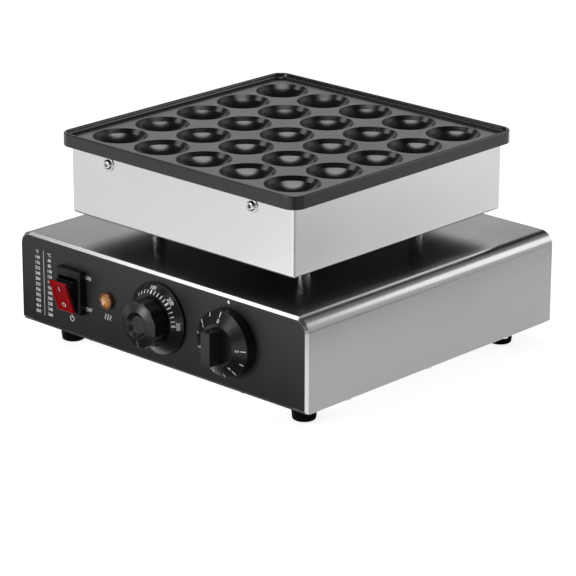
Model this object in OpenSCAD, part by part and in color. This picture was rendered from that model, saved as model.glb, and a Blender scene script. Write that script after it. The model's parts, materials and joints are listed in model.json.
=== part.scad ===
// Countertop mini pancake maker: a square cast plate with round pockets over a control base.
// Millimetres. +X runs to the right along the front panel, +Y to the rear, +Z up.
// The origin is the middle of the footprint, on the surface that the feet stand on.

/* [Grill plate] */
// Pockets along each side of the plate
pocket_rows = 5; // [4:1:6]
// Diameter of a pocket at its mouth
pocket_d = 46.8; // [40:0.2:50]
// Land between two neighbouring pockets
pocket_land = 3.2; // [2:0.2:6]
// Depth of a pocket
pocket_depth = 10.5; // [5:0.5:11]
// Height of the steep wall round a pocket
pocket_wall = 3.6; // [3:0.2:4.6]
// How far that wall slopes inwards
pocket_slope = 3.2; // [1:0.2:3.6]
// Metal under the deepest point of a pocket
pocket_floor = 3; // [3:0.5:9]
// Land from the outer pockets to the plate's outer edge
plate_margin = 14.1; // [11:0.1:20]
// Corner radius of the plate
plate_corner = 12; // [6:1:20]
// Thickness of the plate's overhanging edge
flange_t = 7.5; // [5:0.5:11]
// Height of the rim above the cooking surface
rim_h = 4; // [2:0.5:10]
// Width of the rim
rim_w = 3; // [2:0.5:6]
// Width of the lugs that take the casing screws
lug_w = 18; // [12:1:26]
// Depth of those lugs behind the casing wall
lug_d = 12; // [10:1:20]
// Metal under the casing screws in the lugs
lug_below = 7; // [5:0.5:12]

/* [Heater casing] */
// How far the plate overhangs the casing on each side
casing_inset = 8; // [5:0.5:14]
// Height of the casing
casing_h = 59.6; // [52:0.2:80]
// Sheet thickness of the casing
casing_t = 1; // [0.8:0.1:1.6]
// Outer bend radius of the casing's upright corners
casing_bend = 2.5; // [2:0.5:6]
// Play between the plate's body and the casing wall
plate_play = 1; // [0.5:0.1:2]
// Underside of the casing floor above the casing's lower edge
floor_recess = 8.8; // [4:0.2:12]
// Sheet thickness of the casing floor
floor_t = 1.2; // [0.8:0.1:2]
// Height of the floor's upturned edge
floor_lip = 10; // [6:1:14]
// Casing screws: distance of each from the middle of its side
casing_screw_x = 83.4; // [60:0.1:100]
// Casing screws: distance below the casing's upper edge
casing_screw_drop = 7.8; // [7:0.1:12]

/* [Heating] */
// Diameter of the tubular heating elements
element_d = 8; // [6:0.5:10]
// Spacing of the two legs of one element
element_pitch = 60; // [50:1:66]
// Distance of each element's middle from the plate's middle
element_x = 65; // [56:1:70]
// Length of the straight legs
element_leg = 165; // [140:1:185]
// Middle of the straight legs, behind the plate's middle
element_mid = 12.5; // [5:0.5:16]
// Length of the terminal pins
element_pin = 12; // [10:1:14]
// Width of the clamp bars
clamp_w = 16; // [12:1:20]
// Thickness of the clamp bars
clamp_t = 2; // [1.5:0.5:3]
// Diameter of the bosses that the clamp bars are screwed to
clamp_boss_d = 10; // [9:0.5:13]
// Thickness of the insulation pad
pad_t = 16; // [12:1:18]
// Thickness of the heat reflector
reflector_t = 0.8; // [0.5:0.1:1.2]
// Diameter of the thermostat's sensing bulb
bulb_d = 6; // [5:0.5:7]
// Length of the sensing bulb
bulb_l = 60; // [50:1:70]

/* [Posts] */
// Visible gap between the base and the casing
post_gap = 18.5; // [12:0.5:40]
// Outer diameter of the posts
post_d = 12; // [11:0.5:16]
// Posts: distance from the middle, to each side
post_x = 85.6; // [80:0.2:92]
// Posts: distance from the middle, to the front and the rear
post_y = 70.6; // [66:0.2:76]
// Diameter of the hollow studs in the posts
stud_d = 8; // [7:0.5:9]
// Wire passage through the studs
stud_bore = 5.5; // [4.5:0.1:6]
// Width across flats of the stud nuts
stud_nut_af = 13; // [12:0.5:15]
// Height of the stud nuts
stud_nut_h = 6.5; // [4:0.5:8]

/* [Base] */
// Width of the base
base_w = 337; // [325:1:380]
// Depth of the base
base_d = 312; // [300:1:350]
// Height of the base
base_h = 80; // [78:0.5:110]
// Bend radius of the base's long upper edges
base_bend = 12; // [6:0.5:16]
// Sheet thickness of the base cover
base_t = 1.2; // [0.8:0.1:1.6]
// Thickness of the folded hem at the cover's front and rear edges
hem_t = 2.4; // [1.8:0.1:3.2]
// Depth of the folded hem
hem_d = 8; // [6:1:12]
// Width of the cover's inturned lower edges
base_flange = 15; // [12:1:20]
// Sheet thickness of the front and rear panels
panel_t = 1.5; // [1:0.1:2]
// Depth of the panels' inturned lower edges
panel_flange = 15; // [12:1:18]
// How far the panels' faces lie behind the cover's edge
panel_recess = 0.3; // [0.2:0.1:1]
// Thickness of the black overlay on the front panel
overlay_t = 0.5; // [0.3:0.1:1]
// Steel left bare below the overlay
overlay_rise = 2; // [1:0.5:4]
// Thickness of the bottom plate
bottom_t = 1.5; // [1:0.1:2.5]
// Bottom plate's distance from the base's sides
bottom_inset_x = 2; // [1:0.5:4]
// Bottom plate's distance from the base's front and rear
bottom_inset_y = 6; // [3:0.5:8]

/* [Feet] */
// Height of the rubber feet
foot_h = 18.5; // [14:0.5:30]
// Diameter of a foot at its top
foot_top_d = 23; // [20:0.5:30]
// Diameter of a foot at the floor
foot_low_d = 20; // [18:0.5:26]
// Rounding of a foot's lower edge
foot_round = 2; // [1:0.5:3]
// Feet: distance from the base's sides
foot_inset_x = 31.5; // [29:0.5:45]
// Feet: distance from the base's front and rear
foot_inset_y = 31; // [28:0.5:45]
// Thickness of rubber clamped under the bottom plate
foot_web = 9.5; // [6:0.5:11]

/* [Controls] */
// Height of the controls' centre line above the base's lower edge
control_rise = 41.4; // [38:0.1:46]
// Switch, sideways from the middle
switch_x = -101.7; // [-106:0.1:-98]
// Indicator lamp, sideways from the middle
lamp_x = -60; // [-66:0.5:-56]
// Thermostat, sideways from the middle
thermostat_x = 2; // [-4:0.5:8]
// Timer, sideways from the middle
timer_x = 83.5; // [78:0.5:90]
// Diameter of the controls' shafts
shaft_d = 6; // [5:0.5:7]
// Flat on a shaft, from its axis
shaft_flat = 2.2; // [1.8:0.1:2.3]
// Length of a shaft inside its control
shaft_seat = 12; // [8:1:16]

/* [Switch] */
// Width of the switch frame
frame_w = 29.4; // [28:0.2:33]
// Height of the switch frame
frame_h = 38.7; // [36:0.1:44]
// How far the frame stands out of the panel
frame_out = 7; // [6:0.5:7]
// Height of the raised lip round the frame's opening
frame_lip = 0.5; // [0.3:0.1:0.6]
// Width of that lip
frame_lip_w = 1.7; // [1:0.1:2.5]
// Width of the rocker
rocker_w = 21; // [18:0.5:21.5]
// Length of the rocker's face
rocker_l = 30; // [27:0.5:30]
// Distance from the pivot to the rocker's face
rocker_r = 11.5; // [11.5:0.1:13]
// Thickness of the rocker's red cap
cap_t = 2; // [1.5:0.1:2.2]
// Tilt of the rocker to either side
rocker_tilt = 19; // [14:0.5:19]
// Pivot's distance in front of the panel
pivot_out = 4; // [4:0.1:4.5]
// Diameter of the pivot pin
pivot_d = 2.5; // [2:0.1:3]
// Width of the switch housing
housing_w = 25; // [24:0.5:26]
// Height of the switch housing
housing_h = 33; // [30:0.5:34]
// Depth of the switch housing behind the overlay
housing_d = 23; // [18:0.5:30]
// Wall of the switch housing
housing_t = 1.3; // [1:0.1:1.6]

/* [Indicator lamp] */
// Diameter of the lamp lens
lens_d = 15; // [13:0.5:18]
// Height of the lens in front of the panel
lens_out = 4; // [3:0.5:6]
// Diameter of the lens shank
shank_d = 10; // [8:0.5:11]
// Length of the lens shank behind the panel
shank_l = 9; // [7:0.5:12]
// Diameter of the lamp body
lamp_d = 9; // [7:0.5:10]
// Length of the lamp body
lamp_l = 16; // [12:1:20]

/* [Thermostat] */
// Radius of the fixed dial ring
dial_r = 31; // [29:0.5:32]
// Thickness of the dial ring
dial_t = 9.8; // [6:0.1:12]
// Thickness of the dial ring at its outer edge
dial_edge = 2.8; // [1.5:0.1:4]
// Radius of the dial ring's flat front
dial_flat_r = 22.3; // [21:0.1:25]
// Radius of the knob
knob_r = 20.5; // [16:0.5:24]
// Knob's face in front of the panel
knob_out = 27; // [24:0.5:30]
// Gap between the knob and the dial ring
knob_gap = 0.5; // [0.4:0.1:1]
// Flutes round the knob
knob_flutes = 12; // [8:1:16]
// Depth of the flutes
flute_depth = 0.9; // [0.5:0.1:1.4]
// Rise of the knob's sloping face
face_rise = 2.2; // [1:0.1:3]
// Radius of the dished middle of the knob
dish_r = 11.5; // [10:0.5:14]
// Radius of the dish's flat floor
dish_floor_r = 7; // [4:0.5:8]
// Depth of the dished middle
dish_depth = 3.5; // [2:0.5:4]
// Width of the thermostat body
thermostat_w = 42; // [38:1:44]
// Height of the thermostat body
thermostat_h = 36; // [30:1:40]
// Depth of the thermostat body
thermostat_d = 26; // [22:1:32]
// Half the spacing of the thermostat's screws
thermostat_screw_x = 14; // [13:0.5:15]

/* [Timer] */
// Radius of the timer knob's skirt
skirt_r = 28.3; // [26:0.1:30]
// Height of the skirt's side wall in front of the panel
skirt_out = 9.8; // [7.5:0.1:12]
// Rise of the skirt's sloping face
skirt_rise = 5.6; // [2:0.1:7]
// Radius of the knob's middle
hub_r = 18; // [15:0.5:20]
// Front of the bar grip in front of the panel
grip_out = 29.3; // [25:0.1:33]
// Width of the bar grip
grip_w = 10.4; // [9:0.2:14]
// Length of the bar grip
grip_l = 29.6; // [26:0.2:31]
// Gap between the timer knob and the panel
skirt_gap = 0.8; // [0.4:0.1:1.2]
// Width of the timer body
timer_w = 52; // [48:1:56]
// Height of the timer body
timer_h = 46; // [42:1:48]
// Depth of the timer body
timer_d = 30; // [26:1:36]
// Half the spacing of the timer's screws
timer_screw_x = 19; // [17.5:0.5:20]

/* [Mains entry] */
// Cable gland, sideways from the middle
gland_x = -110; // [-116:1:-100]
// Height of the cable gland above the base's lower edge
gland_rise = 26; // [24:1:40]
// Cord passage through the gland
gland_bore = 9; // [7:0.5:10]
// Thread diameter of the gland
gland_thread = 18; // [16:0.5:20]
// Width across flats of the gland's collar
gland_af = 22; // [22:0.5:26]
// Length of the gland outside the rear panel
gland_out = 25; // [20:0.5:30]
// Length of the gland inside the rear panel
gland_in = 11; // [9:0.5:14]
// Thickness of the gland's collar
gland_collar = 6; // [4:0.5:8]
// Length that the gland cap stands past the gland
gland_cap_over = 4.3; // [3:0.1:6]

/* [Hidden] */
$fn = 64;
// Small sideways clearance round a shank, pin or shaft
fit = 0.05;
// Loose clearance round a part that passes through sheet metal
loose = 0.3;
// Extra length that lets a cut break through a face
cut = 1;
// Depth of a blind hole past its screw
hole_end = 0.5;

// Heights of the main faces
bottom_z = foot_h;
base_z = bottom_z + bottom_t;
deck_z = base_z + base_h;
casing_z = deck_z + post_gap;
floor_z = casing_z + floor_recess;
floor_top = floor_z + floor_t;
flange_z = casing_z + casing_h;
surface_z = flange_z + flange_t;
under_z = surface_z - pocket_depth - pocket_floor;
pad_top = floor_top + pad_t;
control_z = base_z + control_rise;
gland_z = base_z + gland_rise;

// Plate and casing, from the middle
pocket_pitch = pocket_d + pocket_land;
plate_half = (pocket_rows - 1) * pocket_pitch / 2 + pocket_d / 2 + plate_margin;
casing_half = plate_half - casing_inset;
body_half = casing_half - casing_t - plate_play;
pocket_foot_r = pocket_d / 2 - pocket_slope;
pocket_drop = pocket_depth - pocket_wall;
pocket_ball = (pocket_foot_r * pocket_foot_r + pocket_drop * pocket_drop) / (2 * pocket_drop);
pocket_c = (pocket_rows - 1) / 2;
// Growth of the plate to each side, past the plate with the usual number of rows
usual_rows = 5;
row_growth = (pocket_rows - usual_rows) * pocket_pitch / 2;
wall_screw_x = casing_screw_x + row_growth;
stand_x = post_x + row_growth;
stand_y = post_y + row_growth;

// Screws of the casing
casing_screw_z = flange_z - casing_screw_drop;
casing_screw_r = 2.5;
casing_head_r = 4.25;
casing_head_h = 2.6;
casing_washer_r = 6;
casing_washer_t = 1;
lug_z = casing_screw_z - lug_below;
lug_end = 2;
socket_r = 1.7;
socket_depth = 1.6;

// Heating
element_z = under_z - element_d / 2 - fit;
element_low = element_z - element_d / 2;
element_pin_r = 2;
leg_pitch = element_pitch + row_growth;
leg_l = element_leg + 2 * row_growth;
loop_x = element_x + row_growth / 2;
leg_rear = element_mid + leg_l / 2;
pin_rear = leg_rear + element_pin;
link_t = 1;
link_end = 5;
link_half = element_d / 2 - loose;
clamp_y = [-30, 60];
clamp_x = [-loop_x, 0, loop_x];
clamp_over = 6;
clamp_half = loop_x + leg_pitch / 2 + element_d / 2 + clamp_over;
clamp_screw_r = 2;
clamp_head_r = 3.6;
clamp_head_h = 2.4;
clamp_grip = 8;
clip_grip = 3;
boss_low = element_low - fit;
bulb_x = 13;
bulb_front = -5;
bulb_z = under_z - bulb_d / 2 - fit;
clip_w = 22;
clip_l = 14;
clip_y = 20;
clip_wall = 1.5;
clip_edge = 0.9;
clip_screw_x = bulb_x + clip_w / 2 - clamp_head_r - clip_edge;
pad_play = 2;
post_hole_r = 11;

// Posts
stud_end = 1;
stud_low = deck_z - base_t - stud_nut_h - stud_end;
stud_high = floor_top + stud_nut_h + stud_end;

// Base panels, from the middle
front_y = -base_d / 2;
face_y = front_y + panel_recess;
panel_y = face_y + overlay_t;
panel_back = panel_y + panel_t;
rear_face = base_d / 2 - panel_recess;
rear_inner = rear_face - panel_t;
panel_half = base_w / 2 - hem_t - loose;
panel_top = base_h - hem_t - loose;
panel_bend = max(base_bend - hem_t - loose, 1);
flange_half = base_w / 2 - base_flange - 2 * loose;
vent_w = 3;
vent_l = 34;
vent_pitch = 10;
vent_count = 9;

// Screws and nuts of the base
bottom_screw_r = 2;
bottom_head_r = 3.6;
bottom_head_h = 2.2;
bottom_screw_l = 9;
side_screw_x = base_w / 2 - base_flange / 2;
side_screw_y = [-100, 0, 100];
panel_screw_x = 90;
panel_screw_edge = 4.5;
panel_screw_y = base_d / 2 - bottom_inset_y - panel_screw_edge;
foot_x = base_w / 2 - foot_inset_x;
foot_y = base_d / 2 - foot_inset_y;
foot_screw_r = 2;
foot_head_r = 3.6;
foot_head_h = 2.6;
foot_nut_af = 7;
foot_nut_h = 3.2;
foot_bore_r = 4.6;

// Control screws
control_screw_r = 1.75;
control_head_r = 3.4;
control_head_h = 1.9;
control_screw_l = 10;
control_pass_r = shaft_d / 2 + 2;
control_tab = [6.3, 8.5, 0.8];
grip_web = 8;
dish_land = 0.5;
skirt_play = 1;
flute_r = 16;
mark_w = 1;
lamp_tab_x = 2.2;
lamp_nut_wall = 2.5;
lamp_nut_t = 3;

// Switch
pivot_y = face_y - pivot_out;
rocker_play = 0.7;
pin_seat = 2.2;
opening_w = rocker_w + 2 * rocker_play;
pin_l = opening_w + 2 * pin_seat;
carrier_t = 1;
carrier_inset = 0.5;
neck_step = 4.5;
neck_play = 0.4;
neck_half = rocker_l / 2 - neck_step;
// The neck swings to its widest where it leaves the frame's opening
neck_rise = (frame_out + frame_lip - pivot_out + neck_half * sin(rocker_tilt)) / cos(rocker_tilt);
opening_h = 2 * (neck_half * cos(rocker_tilt) + neck_rise * sin(rocker_tilt) + neck_play);
rocker_tail = 6;
tail_half = 6;
hub_cheek = 0.7;

// Mains entry
gland_nut_t = 5;
gland_nut_af = gland_af + 2;
gland_cap_gap = 0.5;
gland_step = 1;
gland_cap_step = 0.4;
gland_cap_l = gland_out - gland_collar + gland_cap_over - gland_cap_gap;
gland_tip_r = gland_thread / 2 - gland_step;
gland_cap_r = gland_af / 2 - gland_cap_step;
gland_cap_bore = gland_bore + gland_step;

// Terminal block and earth stud, on the bottom plate
block_side = 10;
block_back = 62;
block_pos = [gland_x + block_side, rear_inner - block_back];
block_size = [46, 22, 17];
block_ways = 3;
block_pitch = 14;
block_hole_r = 2.6;
earth_side = 58;
earth_back = 42;
earth_pos = [gland_x + earth_side, rear_inner - earth_back];
earth_r = 2.5;
earth_l = 20;
earth_nut_af = 8;
earth_nut_h = 4;

// Leads and tube, from end to end
lead_r = 1.3;
tube_r = 1;
lead_sides = 8;
lead_steps = 3;
stud_mid = (stud_low + stud_high) / 2;
lead_gap = 0.5;
tab_x = 8;
tab_z = 7;
tab_up = 8;
run_z = pad_top + reflector_t + 5;
clamp_low = boss_low - clamp_t - clamp_head_h;
thermostat_tab_y = panel_back + thermostat_d + control_tab[1];
timer_tab_y = panel_back + timer_d + control_tab[1];
switch_tab_y = face_y + housing_d + control_tab[1];
outer_leg = loop_x + leg_pitch / 2;
capillary_route = [
    [bulb_x, bulb_front - lead_gap, bulb_z],
    [bulb_x, bulb_front - 5, bulb_z - 1],
    [bulb_x - 1, bulb_front - 12, bulb_z - 9],
    [bulb_x - 5, bulb_front - 29, clamp_low - 5],
    [-20, -56, run_z + 1],
    [24 - stand_x, 3 - stand_y, run_z],
    [2 - stand_x, -stand_y, run_z - 4],
    [-stand_x, -stand_y, stud_high - 2],
    [-stand_x, -stand_y, stud_mid],
    [-stand_x, -stand_y, stud_low + 2],
    [2 - stand_x, -2 - stand_y, stud_low - 10],
    [-62, thermostat_tab_y + 27, control_z + 9],
    [-30, thermostat_tab_y + 19, control_z + 3],
    [thermostat_x - 12, thermostat_tab_y + 15, control_z],
    [thermostat_x - tab_x, thermostat_tab_y + 5, control_z],
    [thermostat_x - tab_x, panel_back + thermostat_d + lead_gap, control_z]];
function heater_route(side) = [
    [side * outer_leg, pin_rear + lead_gap, element_z],
    [side * outer_leg, pin_rear + 4, element_z - 1],
    [side * outer_leg, pin_rear + 5, element_z - 10],
    [side * (stand_x + 6), pin_rear - 9, run_z + 2],
    [side * (stand_x + 2), stand_y + 9, run_z],
    [side * stand_x, stand_y, run_z - 7],
    [side * stand_x, stand_y, stud_high - 4],
    [side * stand_x, stand_y, stud_mid],
    [side * stand_x, stand_y, stud_low + 2]];
heater_left = concat(heater_route(-1), [
    [-stand_x, stand_y - 2, stud_low - 13],
    [-60, 40, control_z + 5],
    [-20, -20, control_z],
    [thermostat_x + 4, thermostat_tab_y + 39, control_z - 1],
    [thermostat_x + tab_x, thermostat_tab_y + 15, control_z],
    [thermostat_x + tab_x, thermostat_tab_y + lead_gap, control_z]]);
heater_right = concat(heater_route(1), [
    [stand_x, stand_y - 2, stud_low - 13],
    [88, 40, control_z + 5],
    [90, -40, control_z],
    [timer_x + tab_x, timer_tab_y + 25, control_z],
    [timer_x + tab_x, timer_tab_y + lead_gap, control_z]]);
block_front = block_pos[1] - block_size[1] / 2 - lead_gap;
block_z = base_z + block_size[2] / 2;
supply_lead = [
    [block_pos[0] - block_pitch, block_front, block_z],
    [block_pos[0] - block_pitch, block_front - 10, block_z],
    [block_pos[0] - 18, block_front - 25, base_z + 12],
    [block_pos[0] - 22, block_front - 60, base_z + 18],
    [block_pos[0] - 22, -50, base_z + 28],
    [switch_x - tab_x, switch_tab_y + 26, control_z - tab_z],
    [switch_x - tab_x, switch_tab_y + lead_gap, control_z - tab_z]];
return_lead = [
    [block_pos[0], block_front, block_z],
    [block_pos[0], block_front - 10, block_z],
    [block_pos[0] + 3, block_front - 23, base_z + 10],
    [block_pos[0] + 25, block_front - 50, base_z + 13],
    [20, -10, base_z + 14],
    [timer_x - 22, timer_tab_y + 45, base_z + 28],
    [timer_x - tab_x, timer_tab_y + 19, control_z],
    [timer_x - tab_x, timer_tab_y + lead_gap, control_z]];
link_lead = [
    [switch_x + tab_x, switch_tab_y + lead_gap, control_z + tab_z],
    [switch_x + tab_x, switch_tab_y + 8, control_z + tab_z],
    [-78, thermostat_tab_y + 19, control_z + 11],
    [-30, thermostat_tab_y + 23, control_z + 11],
    [thermostat_x - 2, thermostat_tab_y + 17, control_z + tab_up],
    [thermostat_x, thermostat_tab_y + 7, control_z + tab_up],
    [thermostat_x, thermostat_tab_y + lead_gap, control_z + tab_up]];
earth_top = base_z + earth_l + lead_r + fit;
earth_lead = [
    [block_pos[0] + block_pitch, block_front, block_z],
    [block_pos[0] + block_pitch, block_front - 10, block_z],
    [block_pos[0] + 23, block_front - 15, base_z + 12],
    [block_pos[0] + 38, block_front - 1, base_z + 18],
    [earth_pos[0] - 2, earth_pos[1] - 12, base_z + earth_l + 2],
    [earth_pos[0], earth_pos[1] - 3, earth_top],
    [earth_pos[0], earth_pos[1] + 3, earth_top]];

corners = [[-1, -1], [1, -1], [-1, 1], [1, 1]];
sides = [-1, 1];

// Shared shapes

module rounded_square(half, r) {
    square([2 * half, 2 * (half - r)], center = true);
    square([2 * (half - r), 2 * half], center = true);
    for (c = corners) translate(c * (half - r)) circle(r);
}

// Upright arch shape with rounded upper corners, standing on the X axis
module arch(half, h, r, below = 0) {
    translate([-half, -below]) square([2 * half, h - r + below]);
    translate([r - half, -below]) square([2 * (half - r), h + below]);
    for (s = sides) translate([s * (half - r), h - r]) circle(r);
}

// Turns a flat shape upright, so that it faces the front at y and is t deep
module upright(y, t) {
    translate([0, y + t, 0]) rotate([90, 0, 0]) linear_extrude(t) children();
}

// Round bar along Y, from y0 to y1
module bar_y(y0, y1, r) {
    translate([0, y0, 0]) rotate([-90, 0, 0]) cylinder(h = y1 - y0, r = r);
}

// Places its children at the four feet or posts
module at_corners(x, y) {
    for (c = corners) translate([c[0] * x, c[1] * y, 0]) children();
}

module hex_nut(af, h, r) {
    difference() {
        cylinder(h = h, r = af / sqrt(3), $fn = 6);
        translate([0, 0, -cut]) cylinder(h = h + 2 * cut, r = r);
    }
}

// Screw with a flat-seated round head below z = 0 and a shank above it
module pan_screw(r, l, head_r, head_h) {
    cylinder(h = l, r = r - fit);
    translate([0, 0, -head_h]) cylinder(h = head_h, r = head_r);
}

// Two flat connection tabs that stand on a control's rear face
module tabs(y, spots) {
    for (p = spots) {
        translate([p[0] - control_tab[2] / 2, y, p[1] - control_tab[0] / 2])
            cube([control_tab[2], control_tab[1], control_tab[0]]);
    }
}

// Swept round tube

function unit(v) = v / norm(v);
function smooth_at(a, b, c, d, t) =
    0.5 * (2 * b + (c - a) * t + (2 * a - 5 * b + 4 * c - d) * t * t + (3 * b - a - 3 * c + d) * t * t * t);
function smooth_route(p) = concat(
    [for (i = [0:len(p) - 2], k = [0:lead_steps - 1])
        smooth_at(p[max(i - 1, 0)], p[i], p[i + 1], p[min(i + 2, len(p) - 1)], k / lead_steps)],
    [p[len(p) - 1]]);
function tangent(p, i) = unit(p[min(i + 1, len(p) - 1)] - p[max(i - 1, 0)]);
function carried(n, t) = unit(n - (n * t) * t);
function first_normal(t) = carried(abs(t[2]) < 0.9 ? [0, 0, 1] : [1, 0, 0], t);
function normals(p, i, n) = i == len(p) ? [] :
    let (m = carried(n, tangent(p, i))) concat([m], normals(p, i + 1, m));
module tube(route, r) {
    p = smooth_route(route);
    n = normals(p, 0, first_normal(tangent(p, 0)));
    rings = len(p);
    s = lead_sides;
    points = [for (i = [0:rings - 1], k = [0:s - 1])
        let (b = cross(tangent(p, i), n[i]), a = 360 * k / s) p[i] + r * (cos(a) * n[i] + sin(a) * b)];
    walls = [for (i = [0:rings - 2], k = [0:s - 1], half = [0, 1])
        let (a = i * s + k, b = i * s + (k + 1) % s) half == 0 ? [a, a + s, b] : [b, a + s, b + s]];
    caps = [[for (k = [0:s - 1]) k], [for (k = [s - 1:-1:0]) (rings - 1) * s + k]];
    polyhedron(points, concat(walls, caps));
}

// Plate and casing

// A steep wall over a shallow dish
module pocket() {
    deep = pocket_depth + cut;
    lean = pocket_slope / pocket_wall;
    intersection() {
        translate([0, 0, pocket_ball - pocket_depth]) sphere(pocket_ball, $fn = 96);
        translate([0, 0, -deep]) cylinder(h = deep + cut, r1 = pocket_d / 2 - lean * deep,
            r2 = pocket_d / 2 + lean * cut, $fn = 96);
    }
}

module pockets() {
    for (i = [-pocket_c:pocket_c], j = [-pocket_c:pocket_c])
        translate([i * pocket_pitch, j * pocket_pitch, surface_z]) pocket();
}

module grill_plate() {
    color([0.11, 0.11, 0.12])
    difference() {
        union() {
            translate([0, 0, flange_z]) linear_extrude(flange_t) rounded_square(plate_half, plate_corner);
            translate([0, 0, surface_z]) linear_extrude(rim_h) difference() {
                rounded_square(plate_half, plate_corner);
                rounded_square(plate_half - rim_w, plate_corner - rim_w);
            }
            translate([0, 0, under_z]) linear_extrude(flange_z - under_z)
                rounded_square(body_half, casing_bend);
            for (sx = sides, sy = sides)
                translate([sx * wall_screw_x - lug_w / 2, sy * (body_half - lug_d / 2) - lug_d / 2, lug_z])
                    cube([lug_w, lug_d, under_z - lug_z]);
            for (x = clamp_x, y = clamp_y) translate([x, y, boss_low])
                cylinder(h = under_z - boss_low, d = clamp_boss_d);
        }
        pockets();
        for (sx = sides) translate([sx * wall_screw_x, 0, casing_screw_z]) {
            bar_y(-body_half - cut, lug_d - lug_end - body_half, casing_screw_r);
            bar_y(body_half - lug_d + lug_end, body_half + cut, casing_screw_r);
        }
        for (x = clamp_x, y = clamp_y) translate([x, y, boss_low - cut])
            cylinder(h = clamp_grip + hole_end + cut, r = clamp_screw_r);
        translate([clip_screw_x, clip_y, under_z - cut])
            cylinder(h = clip_grip + hole_end + cut, r = clamp_screw_r);
    }
}

module heater_casing() {
    color([0.86, 0.87, 0.88])
    difference() {
        translate([0, 0, casing_z]) linear_extrude(casing_h) difference() {
            rounded_square(casing_half, casing_bend);
            rounded_square(casing_half - casing_t, casing_bend - casing_t);
        }
        for (sx = sides) translate([sx * wall_screw_x, 0, casing_screw_z])
            bar_y(-casing_half - cut, casing_half + cut, casing_screw_r + loose);
    }
}

// Places a screw or washer against the casing's front and rear walls, pointing inwards
module at_casing_screws() {
    for (sx = sides, turn = [0, 180])
        rotate([0, 0, turn]) translate([sx * wall_screw_x, -casing_half, casing_screw_z])
            rotate([-90, 0, 0]) children();
}

module casing_screws() {
    color([0.55, 0.55, 0.56])
    at_casing_screws() translate([0, 0, -casing_washer_t]) difference() {
        pan_screw(casing_screw_r, casing_t + casing_washer_t + plate_play + lug_d - lug_end - hole_end,
            casing_head_r, casing_head_h);
        translate([0, 0, -casing_head_h - cut]) cylinder(h = socket_depth + cut, r = socket_r, $fn = 6);
    }
}

module casing_washers() {
    color([0.78, 0.78, 0.79])
    at_casing_screws() translate([0, 0, -casing_washer_t]) difference() {
        cylinder(h = casing_washer_t, r = casing_washer_r);
        translate([0, 0, -cut]) cylinder(h = casing_washer_t + 2 * cut, r = casing_screw_r + fit);
    }
}

module casing_floor() {
    inner = casing_half - casing_t - fit;
    color([0.7, 0.71, 0.72])
    difference() {
        translate([0, 0, floor_z]) linear_extrude(floor_t + floor_lip) rounded_square(inner, casing_bend);
        translate([0, 0, floor_top]) linear_extrude(floor_lip + cut)
            rounded_square(inner - floor_t, casing_bend / 2);
        at_corners(stand_x, stand_y) translate([0, 0, floor_z - cut])
            cylinder(h = floor_t + 2 * cut, r = stud_d / 2 + loose);
    }
}

// Sheet or pad in the casing, with room round the stud nuts
module casing_layer(z, t) {
    difference() {
        translate([0, 0, z]) linear_extrude(t)
            square(2 * (casing_half - casing_t - floor_t - pad_play), center = true);
        at_corners(stand_x, stand_y) translate([0, 0, z - cut]) cylinder(h = t + 2 * cut, r = post_hole_r);
    }
}

module insulation_pad() color([0.9, 0.89, 0.84]) casing_layer(floor_top, pad_t);

module heat_reflector() color([0.8, 0.81, 0.82]) casing_layer(pad_top, reflector_t);

// Heating

module heating_elements() {
    color([0.36, 0.34, 0.32])
    for (s = sides) translate([s * loop_x, 0, element_z]) {
        for (leg = sides) translate([leg * leg_pitch / 2, 0, 0])
            bar_y(leg_rear - leg_l, leg_rear, element_d / 2);
        translate([0, leg_rear - leg_l, 0]) rotate([0, 0, 180]) rotate_extrude(angle = 180)
            translate([leg_pitch / 2, 0]) circle(d = element_d);
    }
}

module element_pins() {
    color([0.75, 0.74, 0.7])
    for (s = sides, leg = sides) translate([s * loop_x + leg * leg_pitch / 2, 0, element_z])
        bar_y(leg_rear, pin_rear, element_pin_r);
}

module element_link() {
    inner = loop_x - leg_pitch / 2;
    color([0.72, 0.53, 0.3])
    difference() {
        translate([-inner - link_end, pin_rear - 3 * link_t, element_z - link_half])
            cube([2 * (inner + link_end), link_t, 2 * link_half]);
        for (s = sides) translate([s * inner, 0, element_z])
            bar_y(leg_rear, pin_rear + cut, element_pin_r + fit);
    }
}

module clamp_bars() {
    color([0.68, 0.69, 0.7])
    for (y = clamp_y) difference() {
        translate([-clamp_half, y - clamp_w / 2, boss_low - clamp_t])
            cube([2 * clamp_half, clamp_w, clamp_t]);
        for (x = clamp_x) translate([x, y, boss_low - clamp_t - cut])
            cylinder(h = clamp_t + 2 * cut, r = clamp_screw_r + loose);
    }
}

module clamp_screws() {
    color([0.6, 0.6, 0.61]) {
        for (x = clamp_x, y = clamp_y) translate([x, y, boss_low - clamp_t])
            pan_screw(clamp_screw_r, clamp_t + clamp_grip, clamp_head_r, clamp_head_h);
        translate([clip_screw_x, clip_y, under_z - bulb_d - clip_wall])
            pan_screw(clamp_screw_r, bulb_d + clip_wall + clip_grip, clamp_head_r, clamp_head_h);
    }
}

module sensor_bulb() {
    color([0.72, 0.45, 0.3])
    translate([bulb_x, 0, bulb_z]) bar_y(bulb_front, bulb_front + bulb_l, bulb_d / 2);
}

module bulb_clip() {
    groove = bulb_d / 2 + fit;
    color([0.68, 0.69, 0.7])
    difference() {
        translate([bulb_x - clip_w / 2, clip_y - clip_l / 2, under_z - bulb_d - clip_wall])
            cube([clip_w, clip_l, bulb_d + clip_wall]);
        translate([bulb_x, 0, bulb_z]) bar_y(clip_y - clip_l, clip_y + clip_l, groove);
        translate([bulb_x - groove, clip_y - clip_l, bulb_z]) cube([2 * groove, 2 * clip_l, bulb_d]);
        translate([clip_screw_x, clip_y, under_z - 2 * bulb_d])
            cylinder(h = 3 * bulb_d, r = clamp_screw_r + fit);
    }
}

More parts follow.
